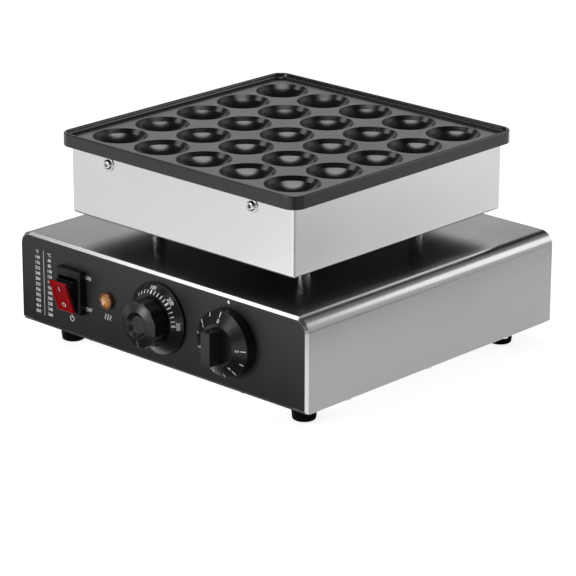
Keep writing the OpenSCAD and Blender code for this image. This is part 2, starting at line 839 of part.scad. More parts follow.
module capillary_tube() color([0.72, 0.45, 0.3]) tube(capillary_route, tube_r);

// Posts

module post(sx, sy) {
    color([0.5, 0.5, 0.52])
    translate([sx * stand_x, sy * stand_y, deck_z]) difference() {
        cylinder(h = floor_z - deck_z, d = post_d);
        translate([0, 0, -cut]) cylinder(h = floor_z - deck_z + 2 * cut, r = stud_d / 2 + fit);
    }
}

module post_studs() {
    color([0.7, 0.68, 0.62])
    at_corners(stand_x, stand_y) difference() {
        translate([0, 0, stud_low]) cylinder(h = stud_high - stud_low, d = stud_d);
        translate([0, 0, stud_low - cut]) cylinder(h = stud_high - stud_low + 2 * cut, d = stud_bore);
    }
}

module post_nuts() {
    color([0.7, 0.68, 0.62])
    at_corners(stand_x, stand_y) {
        translate([0, 0, deck_z - base_t - stud_nut_h]) hex_nut(stud_nut_af, stud_nut_h, stud_d / 2 + fit);
        translate([0, 0, floor_top]) hex_nut(stud_nut_af, stud_nut_h, stud_d / 2 + fit);
    }
}

// Base

module base_cover() {
    flange_d = base_d - 2 * hem_d - 2 * panel_flange;
    color([0.62, 0.63, 0.64])
    translate([0, 0, base_z]) difference() {
        union() {
            upright(-base_d / 2, base_d) difference() {
                arch(base_w / 2, base_h, base_bend);
                arch(base_w / 2 - base_t, base_h - base_t, base_bend - base_t, cut);
            }
            for (y = [-base_d / 2, base_d / 2 - hem_d]) upright(y, hem_d) difference() {
                arch(base_w / 2, base_h, base_bend);
                arch(base_w / 2 - hem_t, base_h - hem_t, base_bend - hem_t, cut);
            }
            for (s = sides) translate([s * (base_w - base_flange) / 2 - base_flange / 2, -flange_d / 2, 0])
                cube([base_flange, flange_d, base_t]);
        }
        at_corners(stand_x, stand_y) translate([0, 0, base_h - base_t - cut])
            cylinder(h = base_t + 2 * cut, r = stud_d / 2 + loose);
        for (s = sides, y = side_screw_y) translate([s * side_screw_x, y, -cut])
            cylinder(h = base_t + 2 * cut, r = bottom_screw_r);
    }
}

// Openings for the controls, seen from the front
module control_holes() {
    translate([switch_x, control_z]) square([housing_w + 2 * loose, housing_h + 2 * loose], center = true);
    translate([lamp_x, control_z]) circle(shank_d / 2 + loose);
    translate([thermostat_x, control_z]) {
        circle(control_pass_r);
        for (s = sides) translate([s * thermostat_screw_x, 0]) circle(control_screw_r + loose);
    }
    translate([timer_x, control_z]) {
        circle(control_pass_r);
        for (s = sides) translate([s * timer_screw_x, 0]) circle(control_screw_r + loose);
    }
}

// Inturned lower edge of a panel, with its screw holes, towards +Y from y
module panel_edge(y, screw_y) {
    difference() {
        translate([-flange_half, y, base_z]) cube([2 * flange_half, panel_flange, panel_t]);
        for (s = sides) translate([s * panel_screw_x, screw_y, base_z - cut])
            cylinder(h = panel_t + 2 * cut, r = bottom_screw_r);
    }
}

module front_panel() {
    color([0.6, 0.61, 0.62]) {
        upright(panel_y, panel_t) difference() {
            translate([0, base_z]) arch(panel_half, panel_top, panel_bend);
            control_holes();
        }
        panel_edge(panel_y + panel_t / 2, -panel_screw_y);
    }
}

module panel_overlay() {
    color([0.19, 0.19, 0.2])
    upright(face_y, overlay_t) difference() {
        translate([0, base_z + overlay_rise]) arch(panel_half, panel_top - overlay_rise, panel_bend);
        control_holes();
    }
}

module vent_slots() {
    span = (vent_count - 1) / 2;
    for (i = [-span:span]) translate([i * vent_pitch, 0]) {
        square([vent_w, vent_l], center = true);
        for (s = sides) translate([0, s * vent_l / 2]) circle(vent_w / 2);
    }
}

module rear_panel() {
    color([0.6, 0.61, 0.62]) {
        upright(rear_inner, panel_t) difference() {
            translate([0, base_z]) arch(panel_half, panel_top, panel_bend);
            translate([gland_x, gland_z]) circle(gland_thread / 2 + loose);
            translate([0, base_z + base_h / 2]) vent_slots();
        }
        panel_edge(rear_inner + panel_t / 2 - panel_flange, panel_screw_y);
    }
}

module bottom_plate() {
    color([0.45, 0.46, 0.47])
    translate([0, 0, bottom_z]) linear_extrude(bottom_t) difference() {
        square([base_w - 2 * bottom_inset_x, base_d - 2 * bottom_inset_y], center = true);
        for (c = corners) translate([c[0] * foot_x, c[1] * foot_y]) circle(foot_screw_r + fit);
        for (s = sides, y = side_screw_y) translate([s * side_screw_x, y]) circle(bottom_screw_r);
        for (c = corners) translate([c[0] * panel_screw_x, c[1] * panel_screw_y]) circle(bottom_screw_r);
        translate([earth_pos[0], earth_pos[1]]) circle(earth_r + fit);
        vent_slots();
    }
}

module bottom_screws() {
    color([0.55, 0.55, 0.56])
    translate([0, 0, bottom_z]) {
        for (s = sides, y = side_screw_y) translate([s * side_screw_x, y, 0])
            pan_screw(bottom_screw_r, bottom_screw_l, bottom_head_r, bottom_head_h);
        for (c = corners) translate([c[0] * panel_screw_x, c[1] * panel_screw_y, 0])
            pan_screw(bottom_screw_r, bottom_screw_l, bottom_head_r, bottom_head_h);
    }
}

module foot(sx, sy) {
    low_r = foot_low_d / 2;
    color([0.1, 0.1, 0.1])
    translate([sx * foot_x, sy * foot_y, 0]) difference() {
        rotate_extrude() {
            polygon([[0, 0], [low_r - foot_round, 0], [low_r - foot_round, foot_round],
                [low_r, foot_round], [foot_top_d / 2, foot_h], [0, foot_h]]);
            intersection() {
                translate([low_r - foot_round, foot_round]) circle(foot_round);
                translate([low_r - foot_round, 0]) square(foot_round);
            }
        }
        translate([0, 0, -cut]) cylinder(h = foot_h - foot_web + cut, r = foot_bore_r);
        cylinder(h = foot_h + cut, r = foot_screw_r + fit);
    }
}

module foot_screws() {
    color([0.6, 0.6, 0.61])
    at_corners(foot_x, foot_y) translate([0, 0, foot_h - foot_web])
        pan_screw(foot_screw_r, foot_web + bottom_t + foot_nut_h + stud_end, foot_head_r, foot_head_h);
}

module foot_nuts() {
    color([0.6, 0.6, 0.61])
    at_corners(foot_x, foot_y) translate([0, 0, base_z]) hex_nut(foot_nut_af, foot_nut_h, foot_screw_r);
}

// Switch

module switch_frame() {
    color([0.1, 0.1, 0.1])
    difference() {
        union() {
            upright(face_y - frame_out, frame_out) translate([switch_x, control_z])
                square([frame_w, frame_h], center = true);
            upright(face_y - frame_out - frame_lip, frame_lip) translate([switch_x, control_z])
                square([opening_w + 2 * frame_lip_w, opening_h + 2 * frame_lip_w], center = true);
        }
        upright(face_y - frame_out - frame_lip - cut, frame_out + frame_lip + 2 * cut)
            translate([switch_x, control_z]) square([opening_w, opening_h], center = true);
        translate([switch_x - pin_l / 2, pivot_y, control_z]) rotate([0, 90, 0])
            cylinder(h = pin_l, d = pivot_d + 2 * fit);
    }
}

module switch_housing() {
    color([0.14, 0.14, 0.14])
    difference() {
        upright(face_y, housing_d) translate([switch_x, control_z])
            square([housing_w, housing_h], center = true);
        upright(face_y - cut, housing_d - 2 * housing_t + cut) translate([switch_x, control_z])
            square([housing_w - 2 * housing_t, housing_h - 2 * housing_t], center = true);
    }
}

module switch_tabs() {
    color([0.75, 0.62, 0.35])
    translate([switch_x, 0, control_z])
        tabs(face_y + housing_d, [for (c = corners) [c[0] * tab_x, c[1] * tab_z]]);
}

module pivot_pin() {
    color([0.7, 0.7, 0.71])
    translate([switch_x - pin_l / 2 + fit, pivot_y, control_z]) rotate([0, 90, 0])
        cylinder(h = pin_l - 2 * fit, d = pivot_d);
}

// Turns a side outline, drawn as [distance from the pivot, length], to the rocker's tilt at rest
module on_rocker(width) {
    translate([switch_x - width / 2, pivot_y, control_z]) rotate([rocker_tilt, 0, 0])
        rotate([90, 0, 90]) linear_extrude(width) children();
}

module rocker() {
    face = rocker_r - cap_t;
    half = rocker_l / 2 - carrier_inset;
    color([0.12, 0.12, 0.12])
    difference() {
        on_rocker(rocker_w - hub_cheek)
            polygon([[-face, half], [-face, -half], [carrier_t - face, -half], [carrier_t - face, -neck_half],
                [0, -neck_half], [rocker_tail, -tail_half], [rocker_tail, tail_half], [0, neck_half],
                [carrier_t - face, neck_half], [carrier_t - face, half]]);
        translate([switch_x - rocker_w, pivot_y, control_z]) rotate([0, 90, 0])
            cylinder(h = 2 * rocker_w, d = pivot_d + 2 * fit);
    }
}

module rocker_cap() {
    color([0.62, 0.04, 0.06])
    on_rocker(rocker_w) polygon([[-rocker_r, rocker_l / 2 - cap_t / 2], [-rocker_r, cap_t / 2 - rocker_l / 2],
        [cap_t / 3 - rocker_r, -rocker_l / 2], [cap_t - rocker_r, -rocker_l / 2],
        [cap_t - rocker_r, rocker_l / 2], [cap_t / 3 - rocker_r, rocker_l / 2]]);
}

// Indicator lamp

module lamp_lens() {
    dome_r = (lens_d * lens_d / 4 + lens_out * lens_out) / (2 * lens_out);
    color([0.85, 0.5, 0.2])
    translate([lamp_x, 0, control_z]) {
        intersection() {
            translate([0, face_y - lens_out + dome_r, 0]) sphere(dome_r);
            bar_y(face_y - lens_out - cut, face_y, lens_d / 2);
        }
        bar_y(face_y, panel_back + shank_l, shank_d / 2);
    }
}

module lamp_nut() {
    color([0.2, 0.2, 0.2])
    translate([lamp_x, panel_back, control_z]) rotate([-90, 0, 0])
        hex_nut(shank_d + 2 * lamp_nut_wall, lamp_nut_t, shank_d / 2 + fit);
}

module lamp_body() {
    rear = panel_back + shank_l + lamp_l;
    color([0.85, 0.83, 0.78])
    translate([lamp_x, 0, control_z]) {
        bar_y(panel_back + shank_l, rear, lamp_d / 2);
        tabs(rear, [[-lamp_tab_x, 0], [lamp_tab_x, 0]]);
    }
}

// Shaft with a flat on one side, along Y from y0 to y1, with play added all round
module flat_shaft(y0, y1, play = 0) {
    upright(y0, y1 - y0) intersection() {
        circle(shaft_d / 2 + play);
        translate([-shaft_d, -shaft_flat - play]) square(2 * shaft_d);
    }
}

module control_shaft(x, front) {
    color([0.72, 0.72, 0.73])
    translate([x, 0, control_z]) {
        flat_shaft(front, face_y);
        bar_y(face_y, panel_back + shaft_seat - loose, shaft_d / 2);
    }
}

// Control case on the panel's inner face, with its shaft seat, screw holes and tabs
module control_case(x, w, h, d, screw_x, tab_spots) {
    translate([x, 0, control_z]) {
        difference() {
            translate([-w / 2, panel_back, -h / 2]) cube([w, d, h]);
            bar_y(panel_back - cut, panel_back + shaft_seat, shaft_d / 2 + fit);
            for (s = sides) translate([s * screw_x, 0, 0])
                bar_y(panel_back - cut, panel_back + control_screw_l, control_screw_r);
        }
        tabs(panel_back + d, tab_spots);
    }
}

module control_screws(x, screw_x) {
    color([0.72, 0.72, 0.73])
    for (s = sides) translate([x + s * screw_x, face_y, control_z]) rotate([-90, 0, 0])
        pan_screw(control_screw_r, overlay_t + panel_t + control_screw_l - hole_end,
            control_head_r, control_head_h);
}

// Thermostat

module thermostat_dial() {
    color([0.15, 0.15, 0.16])
    translate([thermostat_x, 0, control_z]) difference() {
        union() {
            bar_y(face_y - dial_edge, face_y, dial_r);
            translate([0, face_y - dial_edge, 0]) rotate([90, 0, 0])
                cylinder(h = dial_t - dial_edge, r1 = dial_r, r2 = dial_flat_r);
        }
        bar_y(face_y - dial_t - cut, face_y + cut, control_pass_r);
        for (s = sides) translate([s * thermostat_screw_x, 0, 0])
            bar_y(face_y - control_head_h - loose, face_y + cut, control_head_r + loose);
    }
}

module thermostat_knob() {
    back = face_y - dial_t - knob_gap;
    front = face_y - knob_out;
    edge = front + face_rise;
    dish_open = (dish_r - dish_floor_r) * cut / dish_depth;
    color([0.13, 0.13, 0.14])
    translate([thermostat_x, 0, control_z]) difference() {
        union() {
            bar_y(edge, back, knob_r);
            translate([0, edge, 0]) rotate([90, 0, 0])
                cylinder(h = face_rise, r1 = knob_r, r2 = dish_r + dish_land);
        }
        for (i = [0:knob_flutes - 1]) rotate([0, 360 * i / knob_flutes, 0])
            translate([0, 0, knob_r + flute_r - flute_depth]) bar_y(front - cut, back + cut, flute_r);
        translate([0, front + dish_depth, 0]) rotate([90, 0, 0])
            cylinder(h = dish_depth + cut, r1 = dish_floor_r, r2 = dish_r + dish_open);
        translate([-mark_w / 2, front - cut, -knob_r - cut])
            cube([mark_w, face_rise + mark_w + cut, knob_r - dish_r + cut]);
        flat_shaft(front + 2 * dish_depth, back + cut, fit);
    }
}

module thermostat_shaft() control_shaft(thermostat_x, face_y - knob_out + 2 * dish_depth + loose);

module thermostat_body() {
    color([0.82, 0.81, 0.77])
    control_case(thermostat_x, thermostat_w, thermostat_h, thermostat_d, thermostat_screw_x,
        [[tab_x, 0], [0, tab_up]]);
}

module thermostat_screws() control_screws(thermostat_x, thermostat_screw_x);

// Timer

module timer_knob() {
    back = face_y - skirt_gap;
    rim = face_y - skirt_out;
    front = face_y - grip_out;
    recess = control_head_h + 2 * loose;
    color([0.13, 0.13, 0.14])
    translate([timer_x, 0, control_z]) difference() {
        union() {
            bar_y(rim, back, skirt_r);
            translate([0, rim, 0]) rotate([90, 0, 0]) cylinder(h = skirt_rise, r1 = skirt_r, r2 = hub_r);
            translate([-grip_w / 2, front, -grip_l / 2]) cube([grip_w, rim - front, grip_l]);
        }
        difference() {
            bar_y(face_y - skirt_gap - recess, back + cut, timer_screw_x + control_head_r + skirt_play);
            bar_y(face_y - skirt_gap - recess - cut, back + 2 * cut, shaft_d);
        }
        flat_shaft(front + grip_web, back + cut, fit);
    }
}

module timer_shaft() control_shaft(timer_x, face_y - grip_out + grip_web + loose);

module timer_body() {
    color([0.3, 0.3, 0.31])
    control_case(timer_x, timer_w, timer_h, timer_d, timer_screw_x, [[-tab_x, 0], [tab_x, 0]]);
}

module timer_screws() control_screws(timer_x, timer_screw_x);

// Mains entry

module cable_gland() {
    color([0.12, 0.12, 0.12])
    translate([gland_x, 0, gland_z]) difference() {
        union() {
            bar_y(rear_inner - gland_in, rear_face, gland_thread / 2);
            translate([0, rear_face, 0]) rotate([-90, 0, 0])
                cylinder(h = gland_collar, r = gland_af / sqrt(3), $fn = 6);
            bar_y(rear_face + gland_collar, rear_face + gland_out, gland_tip_r);
        }
        bar_y(rear_inner - gland_in - cut, rear_face + gland_out + cut, gland_bore / 2);
    }
}

module gland_cap() {
    start = rear_face + gland_collar + gland_cap_gap;
    color([0.12, 0.12, 0.12])
    translate([gland_x, 0, gland_z]) difference() {
        bar_y(start, start + gland_cap_l, gland_cap_r);
        bar_y(start - cut, rear_face + gland_out + fit, gland_tip_r + fit);
        bar_y(start, start + gland_cap_l + cut, gland_cap_bore / 2);
    }
}

module gland_nut() {
    color([0.12, 0.12, 0.12])
    translate([gland_x, rear_inner - gland_nut_t, gland_z]) rotate([-90, 0, 0])
        hex_nut(gland_nut_af, gland_nut_t, gland_thread / 2 + fit);
}

module terminal_block() {
    way = (block_ways - 1) / 2;
    color([0.88, 0.86, 0.8])
    translate([block_pos[0], block_pos[1], base_z]) difference() {
        translate([-block_size[0] / 2, -block_size[1] / 2, 0]) cube(block_size);
        for (i = [-way:way]) translate([i * block_pitch, 0, block_size[2] / 2])
            cylinder(h = block_size[2], r = block_hole_r);
    }
}

module earth_stud() {
    color([0.78, 0.62, 0.34])
    translate([earth_pos[0], earth_pos[1], 0]) {
        difference() {
            translate([0, 0, base_z]) cylinder(h = earth_nut_h, r = earth_nut_af / sqrt(3), $fn = 6);
            translate([0, 0, base_z - cut]) cylinder(h = earth_nut_h / 2 + cut, r = earth_r + fit);
        }
        translate([0, 0, base_z + earth_nut_h]) cylinder(h = earth_l - earth_nut_h, r = earth_r);
        translate([0, 0, bottom_z - stud_end])
            cylinder(h = bottom_t + stud_end + earth_nut_h / 2, r = earth_r);
    }
}

module heater_leads() {
    color([0.75, 0.2, 0.15]) {
        tube(heater_left, lead_r);
        tube(heater_right, lead_r);
    }
}

module control_leads() {
    color([0.2, 0.3, 0.6]) {
        tube(supply_lead, lead_r);
        tube(return_lead, lead_r);
        tube(link_lead, lead_r);
        tube(earth_lead, lead_r);
    }
}

grill_plate();
heater_casing();
casing_screws();
casing_washers();
casing_floor();
insulation_pad();
heat_reflector();
heating_elements();
element_pins();
element_link();
clamp_bars();
clamp_screws();
sensor_bulb();
bulb_clip();
capillary_tube();
post(-1, -1);  // post_front_left
post(1, -1);  // post_front_right
post(-1, 1);  // post_rear_left
post(1, 1);  // post_rear_right
post_studs();
post_nuts();
base_cover();
front_panel();
panel_overlay();
rear_panel();
bottom_plate();
bottom_screws();
foot(-1, -1);  // foot_front_left
foot(1, -1);  // foot_front_right
foot(-1, 1);  // foot_rear_left
foot(1, 1);  // foot_rear_right
foot_screws();
foot_nuts();
switch_frame();
switch_housing();
switch_tabs();
pivot_pin();
rocker();
rocker_cap();
lamp_lens();
lamp_nut();
lamp_body();
thermostat_dial();
thermostat_knob();
thermostat_shaft();
thermostat_body();
thermostat_screws();
timer_knob();
timer_shaft();
timer_body();
timer_screws();
cable_gland();
gland_cap();
gland_nut();
terminal_block();
earth_stud();
heater_leads();
control_leads();
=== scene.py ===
# %% [markdown]
# # A countertop pancake maker with 25 pockets
#
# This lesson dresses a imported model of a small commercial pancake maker: a coated cast plate on a bright
# steel casing, four short posts, and a low control base with a switch, a lamp and two knobs. The packed
# model is the fixed frame. New pieces are shaped with Blender's own tools and take the place of the plain
# solids that show most. The other solids stay and only get a better surface.

# %% Load the frame
import json
import math

import bmesh
import bpy
from mathutils import Matrix, Vector


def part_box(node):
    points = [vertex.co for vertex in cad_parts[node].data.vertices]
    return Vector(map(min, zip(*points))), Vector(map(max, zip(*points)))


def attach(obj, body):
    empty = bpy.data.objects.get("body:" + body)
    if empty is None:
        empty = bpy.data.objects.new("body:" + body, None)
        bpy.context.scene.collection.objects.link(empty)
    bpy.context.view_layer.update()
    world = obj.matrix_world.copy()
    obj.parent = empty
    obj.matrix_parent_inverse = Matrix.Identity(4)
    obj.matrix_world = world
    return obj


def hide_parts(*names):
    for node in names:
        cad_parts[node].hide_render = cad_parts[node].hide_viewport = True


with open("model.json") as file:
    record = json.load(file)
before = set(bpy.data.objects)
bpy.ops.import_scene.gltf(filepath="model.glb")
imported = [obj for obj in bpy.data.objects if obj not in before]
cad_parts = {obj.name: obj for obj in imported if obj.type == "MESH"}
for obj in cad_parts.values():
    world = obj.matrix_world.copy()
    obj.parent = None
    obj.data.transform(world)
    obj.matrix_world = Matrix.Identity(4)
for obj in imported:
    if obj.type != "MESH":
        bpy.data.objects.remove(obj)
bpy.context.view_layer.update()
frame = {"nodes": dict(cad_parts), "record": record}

# %% [markdown]
# ## Hands for modelling
#
# Each piece begins as a primitive at its real size and place. These helpers hold what the hands do again
# and again: open a blank in edit mode, pick faces or edges by where they are, draw a face out, and step it
# inwards. Small steps along an arc make a rounded edge with as many rings as are wanted, where a bevel tool
# would have to guess.

# %% Selecting and opening


def mm(length):
    return length / 1000


TINY = mm(0.01)
CLEAR = mm(1)
NEARLY = 0.9


def leave_edit():
    bpy.ops.object.mode_set(mode="OBJECT")


def drop_selection():
    if bpy.context.object and bpy.context.object.mode != "OBJECT":
        leave_edit()
    bpy.ops.object.select_all(action="DESELECT")


def take(*pieces):
    drop_selection()
    for piece in pieces:
        piece.select_set(True)
    bpy.context.view_layer.objects.active = pieces[0]


def pick_all():
    bpy.ops.mesh.select_all(action="SELECT")


def turn_outwards():
    pick_all()
    bpy.ops.mesh.normals_make_consistent(inside=False)


def edit(piece):
    take(piece)
    bpy.ops.object.mode_set(mode="EDIT")


def set_place():
    """Put the place, turn and size of what is selected into its mesh."""
    bpy.ops.object.transform_apply(location=True, rotation=True, scale=True)


def open_blank(name):
    """Name the primitive just added, put its place in its mesh and open it with all of it selected."""
    blank = bpy.context.object
    blank.name = name
    blank.data.name = name
    set_place()
    bpy.ops.object.mode_set(mode="EDIT")
    pick_all()
    return blank


def pick(kind, test):
    """Select only the corners, edges or faces that pass the test, and say how many."""
    bpy.ops.mesh.select_mode(type=kind)
    bpy.ops.mesh.select_all(action="DESELECT")
    shape = bmesh.from_edit_mesh(bpy.context.object.data)
    parts = {"VERT": shape.verts, "EDGE": shape.edges, "FACE": shape.faces}[kind]
    chosen = [part for part in parts if test(part)]
    for part in chosen:
        part.select_set(True)
    shape.select_flush_mode()
    bmesh.update_edit_mesh(bpy.context.object.data)
    return len(chosen)


print("selecting ready")

# %% Stepping


def draw_out(x=0, y=0, z=0):
    bpy.ops.mesh.extrude_region_move(TRANSFORM_OT_translate={"value": (x, y, z)})


def step_in(steps):
    for inset, depth in steps:
        bpy.ops.mesh.inset(thickness=inset, depth=depth, use_even_offset=True)


def round_over(radius, count=4):
    """Steps that turn a wall over into a flat top."""
    turn = [math.pi / 2 * k / count for k in range(count + 1)]
    return [
        (radius * (math.cos(a) - math.cos(b)), radius * (math.sin(b) - math.sin(a)))
        for a, b in zip(turn, turn[1:])
    ]


def roll_down(radius, count=4):
    """Steps that turn a flat top down into a wall."""
    return [(inset, -depth) for inset, depth in reversed(round_over(radius, count))]


def floor_fillet(radius, count=4):
    """Steps that turn a wall going down into a flat floor."""
    return [(inset, -depth) for inset, depth in round_over(radius, count)]


print("stepping ready")

# %% Closing, cutting and settling


def close_up(piece):
    """Merge doubles, point the faces outwards and say whether the piece is closed."""
    pick_all()
    bpy.ops.mesh.remove_doubles(threshold=mm(0.001))
    turn_outwards()
    shape = bmesh.from_edit_mesh(piece.data)
    open_edges = sum(not edge.is_manifold for edge in shape.edges)
    print(piece.name, "open edges:", open_edges, "volume in mm3:", round(shape.calc_volume() * 1e9))
    take(piece)


def work(piece, kind, **settings):
    """Add a modifier with these settings and apply it."""
    take(piece)
    tool = piece.modifiers.new(kind.lower(), kind)
    for name, value in settings.items():
        setattr(tool, name, value)
    bpy.ops.object.modifier_apply(modifier=tool.name)


def join(*pieces):
    take(*pieces)
    bpy.ops.object.join()
    return pieces[0]


def cut_with(piece, cutter, operation="DIFFERENCE"):
    """Boolean one piece with another and throw the cutter away."""
    work(piece, "BOOLEAN", object=cutter, operation=operation, solver="EXACT")
    bpy.data.objects.remove(cutter)


def shade(piece, angle=30):
    """Shade smooth below an angle, and let the large flats rule so that rounded edges don't tilt them."""
    take(piece)
    bpy.ops.object.shade_smooth_by_angle(angle=math.radians(angle))
    work(piece, "WEIGHTED_NORMAL", keep_sharp=True)


def lay(piece, place):
    """Move what was modelled about the origin to its place."""
    piece.matrix_world = place
    set_place()
    return piece


def copy_turned(piece, turn, shift=0):
    """A copy, turned about the upright axis and moved along X."""
    take(piece)
    bpy.ops.object.duplicate(linked=False)
    twin = bpy.context.object
    twin.rotation_euler.z = turn
    twin.location.x = shift
    set_place()
    return twin


def settle(piece, slot, body="base", stands_for=(), finish=None):
    """Give a piece its finish, from its slot unless a finish is given, put it on its body and hide the frame
    nodes that it stands for.
    """
    piece.data.materials.clear()
    piece.data.materials.append(finish or finishes[slot])
    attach(piece, body)
    if stands_for:
        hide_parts(*stands_for)
    print(piece.name, "has", len(piece.data.polygons), "faces and rides on", body)


print("helpers ready")

# %% [markdown]
# ## A shared surface effect
#
# Rolled sheet has fine lines in one direction. Moulded plastic and baked coatings have a fine even grain.
# Both are a little cloudy from cleaning and handling. One node group serves them all: a noise for the
# marks, which a stretch turns into lines or grain, and a wide noise for the haze. It puts out plain
# values only, and each finish decides how much of them goes into its colour, gloss and relief.

# %% Node group for marks and haze
HAZE_SCALE = 13
HAZE_DETAIL = 3
marks_and_haze = bpy.data.node_groups.new("marks_and_haze", "ShaderNodeTree")
for side, labels in (("INPUT", ("Vector", "Stretch", "Detail")), ("OUTPUT", ("Marks", "Haze"))):
    for label in labels:
        kind = "NodeSocketVector" if label in ("Vector", "Stretch") else "NodeSocketFloat"
        marks_and_haze.interface.new_socket(label, in_out=side, socket_type=kind)
group_nodes = marks_and_haze.nodes
group_link = marks_and_haze.links.new
given = group_nodes.new("NodeGroupInput").outputs
wanted = group_nodes.new("NodeGroupOutput").inputs
stretched = group_nodes.new("ShaderNodeVectorMath")
stretched.operation = "MULTIPLY"
group_link(given["Vector"], stretched.inputs[0])
group_link(given["Stretch"], stretched.inputs[1])
marks = group_nodes.new("ShaderNodeTexNoise")
marks.inputs["Scale"].default_value = 1
group_link(stretched.outputs[0], marks.inputs["Vector"])
group_link(given["Detail"], marks.inputs["Detail"])
group_link(marks.outputs[0], wanted["Marks"])
haze = group_nodes.new("ShaderNodeTexNoise")
haze.inputs["Scale"].default_value = HAZE_SCALE
haze.inputs["Detail"].default_value = HAZE_DETAIL
group_link(given["Vector"], haze.inputs["Vector"])
group_link(haze.outputs[0], wanted["Haze"])
print("group:", marks_and_haze.name)

# %% Node helpers


def new_finish(name):
    finish = bpy.data.materials.new(name)
    finish.use_nodes = True
    return finish, finish.node_tree, finish.node_tree.nodes["Principled BSDF"]


def object_place(tree):
    return tree.nodes.new("ShaderNodeTexCoord").outputs["Object"]


def map_value(tree, value, source, target):
    """Carry a value over from one range to another."""
    span = tree.nodes.new("ShaderNodeMapRange")
    labels = ("From Min", "From Max", "To Min", "To Max")
    for label, number in zip(labels, (*source, *target)):
        span.inputs[label].default_value = number
    tree.links.new(value, span.inputs["Value"])
    return span.outputs["Result"]


def combine(tree, operation, first, second):
    """Add or multiply two values, held between 0 and 1."""
    node = tree.nodes.new("ShaderNodeMath")
    node.operation = operation
    node.use_clamp = True
    tree.links.new(first, node.inputs[0])
    tree.links.new(second, node.inputs[1])
    return node.outputs[0]


def tint(tree, value, dark, light, target):
    """Mix two colours by a value into a socket."""
    mix = tree.nodes.new("ShaderNodeMix")
    mix.data_type = "RGBA"
    mix.inputs[6].default_value = (*dark, 1)
    mix.inputs[7].default_value = (*light, 1)
    tree.links.new(value, mix.inputs[0])
    tree.links.new(mix.outputs[2], target)


print("node helpers ready")

# %% Two kinds of finish
NOISE_SPAN = (0.3, 0.7)
SHEET_HAZE = (0.88, 1.14)
SHEET_DETAIL = 4
GRAIN_HAZE = (0.9, 1.12)
GRAIN_DETAIL = 2


def varied_finish(name, stretch, detail, colour, vary, rough, height, strength):
    """A finish whose colour and relief follow the group's marks, and its roughness the group's haze."""
    finish, tree, shader = new_finish(name)
    effect = tree.nodes.new("ShaderNodeGroup")
    effect.node_tree = marks_and_haze
    effect.inputs["Stretch"].default_value = stretch
    effect.inputs["Detail"].default_value = detail
    tree.links.new(object_place(tree), effect.inputs["Vector"])
    dark = [part * (1 - vary) for part in colour]
    light = [min(1, part * (1 + vary)) for part in colour]
    tint(tree, effect.outputs["Marks"], dark, light, shader.inputs["Base Color"])
    tree.links.new(map_value(tree, effect.outputs["Haze"], NOISE_SPAN, rough), shader.inputs["Roughness"])
    bump = tree.nodes.new("ShaderNodeBump")
    bump.inputs["Distance"].default_value = height
    bump.inputs["Strength"].default_value = strength
    tree.links.new(effect.outputs["Marks"], bump.inputs["Height"])
    tree.links.new(bump.outputs["Normal"], shader.inputs["Normal"])
    return finish, shader


def sheet_finish(name, colour, rough, stretch, vary=0.06, height=mm(0.01), strength=0.12):
    haze = [rough * share for share in SHEET_HAZE]
    finish, shader = varied_finish(name, stretch, SHEET_DETAIL, colour, vary, haze, height, strength)
    shader.inputs["Metallic"].default_value = 1
    return finish


def grain_finish(name, colour, rough, grains, height=mm(0.02), strength=0.2, gloss=0.5, vary=0.12):
    haze = [rough * share for share in GRAIN_HAZE]
    even = (grains, grains, grains)
    finish, shader = varied_finish(name, even, GRAIN_DETAIL, colour, vary, haze, height, strength)
    shader.inputs["Specular IOR Level"].default_value = gloss
    return finish


print("finish makers ready")

# %% [markdown]
# ## The finishes of this machine
#
# The plate has a satin black coating and the casing is bright satin steel. The base is a darker steel,
# brushed from front to rear so that the posts mirror softly in its top, with a painted highlight on the
# folds at its ends: a brighter copy of the same steel.
# The front has a dull black film, the knobs are black plastic, the switch cap is deep red and the lamp
# amber. The hidden parts get plain plated, brass, copper and fibre surfaces.

# %% Sheet metal
ALONG_X = (25, 2200, 2200)
ALONG_Y = (2200, 25, 2200)
FINE = (900, 900, 900)
# Each row: name, colour, roughness, run of the lines, variation, height and strength of the relief
SHEETS = {
    "stainless": ("base_satin_steel", (0.33, 0.332, 0.336), 0.23, ALONG_Y, 0.05, mm(0.03), 0.8),
    "plated_sheet": ("plated_sheet", (0.5, 0.5, 0.51), 0.38, FINE),
    "bright_steel": ("polished_posts", (0.6, 0.6, 0.61), 0.12, FINE, 0.03, mm(0.004)),
    "zinc_steel": ("zinc_plated_steel", (0.62, 0.63, 0.64), 0.26, FINE),
    "reflector_sheet": ("reflector_sheet", (0.8, 0.81, 0.82), 0.2, ALONG_X),
    "element_sheath": ("heated_sheath", (0.2, 0.17, 0.15), 0.45, FINE, 0.2),
    "brass_contacts": ("brass_contacts", (0.72, 0.53, 0.24), 0.28, FINE),
    "copper_tube": ("copper_tube", (0.75, 0.4, 0.26), 0.28, FINE),
}
finishes = {slot: sheet_finish(*row) for slot, row in SHEETS.items()}
casing_steel = sheet_finish("casing_satin_steel", (0.69, 0.695, 0.705), 0.2, ALONG_X, 0.035)
# A brighter copy of the base steel for the flat faces of the hem folds: a painted highlight.
painted_highlight_steel = sheet_finish("hem_painted_highlight_steel", (0.62, 0.623, 0.63), 0.24, ALONG_X)
print(len(finishes) + 2, "sheet finishes")

